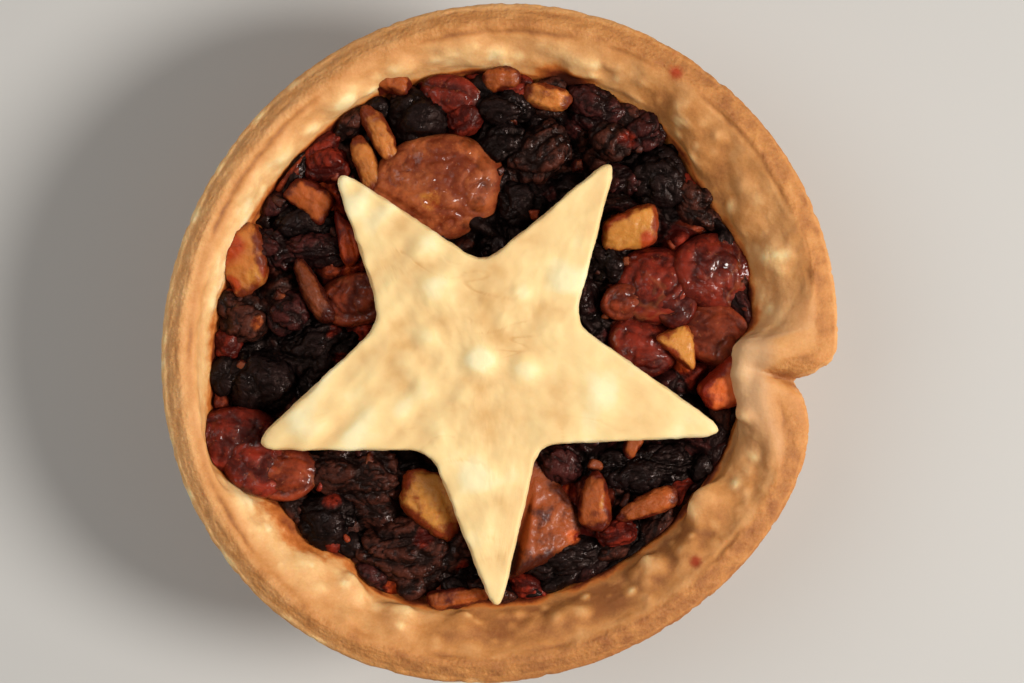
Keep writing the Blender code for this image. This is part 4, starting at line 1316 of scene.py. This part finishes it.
def crumb_rows():
    """Small bits of apple and peel strewn in the heap."""
    draw = np.random.default_rng(103)
    looks = ("russet", "brown", "russet", "red", "russet", "amber")
    rows = []
    for n in range(CRUMBS):
        bearing = n * EVEN_TURN % 360 + draw.uniform(-9, 9)
        x, y, _ = at(bearing, (fill_radius(bearing) - 1.0) * math.sqrt((n + 0.5) / CRUMBS), 0.0)
        size = (draw.uniform(0.8, 1.8), draw.uniform(0.6, 1.1))
        if beyond_star(np.array([[x, y, 0.0]]))[0] > 0.3:
            rows.append((x, y, *size, draw.uniform(0, 180), draw.uniform(-1.0, -0.4), looks[n % len(looks)]))
    return rows


def build_mincemeat():
    build_core()
    dark = [row for row in RAISINS if row[6] == "black"]
    ruddy = [row for row in RAISINS if row[6] != "black"]
    raisin, flesh = raisin_finish(), flesh_finish()
    build_fruit("raisins_dark", dark, dried, 0.80, 1.0, raisin, 11)
    build_fruit("raisins_brown", ruddy, dried, 0.80, 1.0, raisin, 23)
    build_fruit("currants", CURRANTS, dried, 0.95, 0.75, raisin, 31)
    build_fruit("sultanas", SULTANAS, plump, 0.62, 1.1, sultana_finish(), 37, 1.12)
    build_fruit("apple", APPLES, cut_piece, 0.75, 1.0, flesh, 53, 1.0)
    build_fruit("peel", PEELS, cut_piece, 0.70, 0.8, flesh, 71, 1.0)
    build_fruit("scraps_edge", edge_scrap_rows(), dried, 0.8, 0.8, raisin, 97)
    build_fruit("crumbs", crumb_rows(), cut_piece, 0.9, 0.5, flesh, 107, 1.0)


def add_area_light(name, place, size, power, colour):
    light = bpy.data.lights.new(name, "AREA")
    light.shape, light.size, light.energy, light.color = "DISK", size, power, colour
    lamp = bpy.data.objects.new(name, light)
    lamp.location = place
    lamp.rotation_euler = (Vector((0, 0, 0.018)) - Vector(place)).to_track_quat("-Z", "Y").to_euler()
    bpy.context.scene.collection.objects.link(lamp)


def build_studio():
    """A plain pale floor, a soft key light from the right and a weak fill."""
    bpy.ops.mesh.primitive_plane_add(size=3.0, location=(0, 0, -0.0001))
    floor = bpy.context.object
    floor.name = "floor"
    made = Finish("pale_floor")
    floor.data.materials.append(made.set(Base_Color=socket_colour((196, 194, 190)), Roughness=0.7))
    add_area_light("key", (0.42, -0.05, 0.40), 0.18, 3.45, (1.0, 0.97, 0.93))
    add_area_light("fill", (-0.30, 0.10, 0.50), 0.40, 0.9, (1.0, 0.98, 0.96))
    world = bpy.data.worlds.new("studio")
    world.use_nodes = True
    backdrop = world.node_tree.nodes["Background"]
    backdrop.inputs["Color"].default_value = (1.0, 0.98, 0.95, 1.0)
    backdrop.inputs["Strength"].default_value = 0.19
    bpy.context.scene.world = world
    bpy.context.scene.view_settings.view_transform = "Standard"


def build_camera():
    """Straight down on the pie, from about a hand's length above its rim."""
    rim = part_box("pastry_case")[1].z
    data = bpy.data.cameras.new("camera")
    data.sensor_width, data.lens = 36.0, 75.0
    data.clip_start = 0.01
    camera = bpy.data.objects.new("camera", data)
    camera.location = (0.00098, 0.00014, rim + 0.2)
    bpy.context.scene.collection.objects.link(camera)
    bpy.context.scene.camera = camera


build_studio()
build_camera()
build_crust()
build_star()
build_mincemeat()
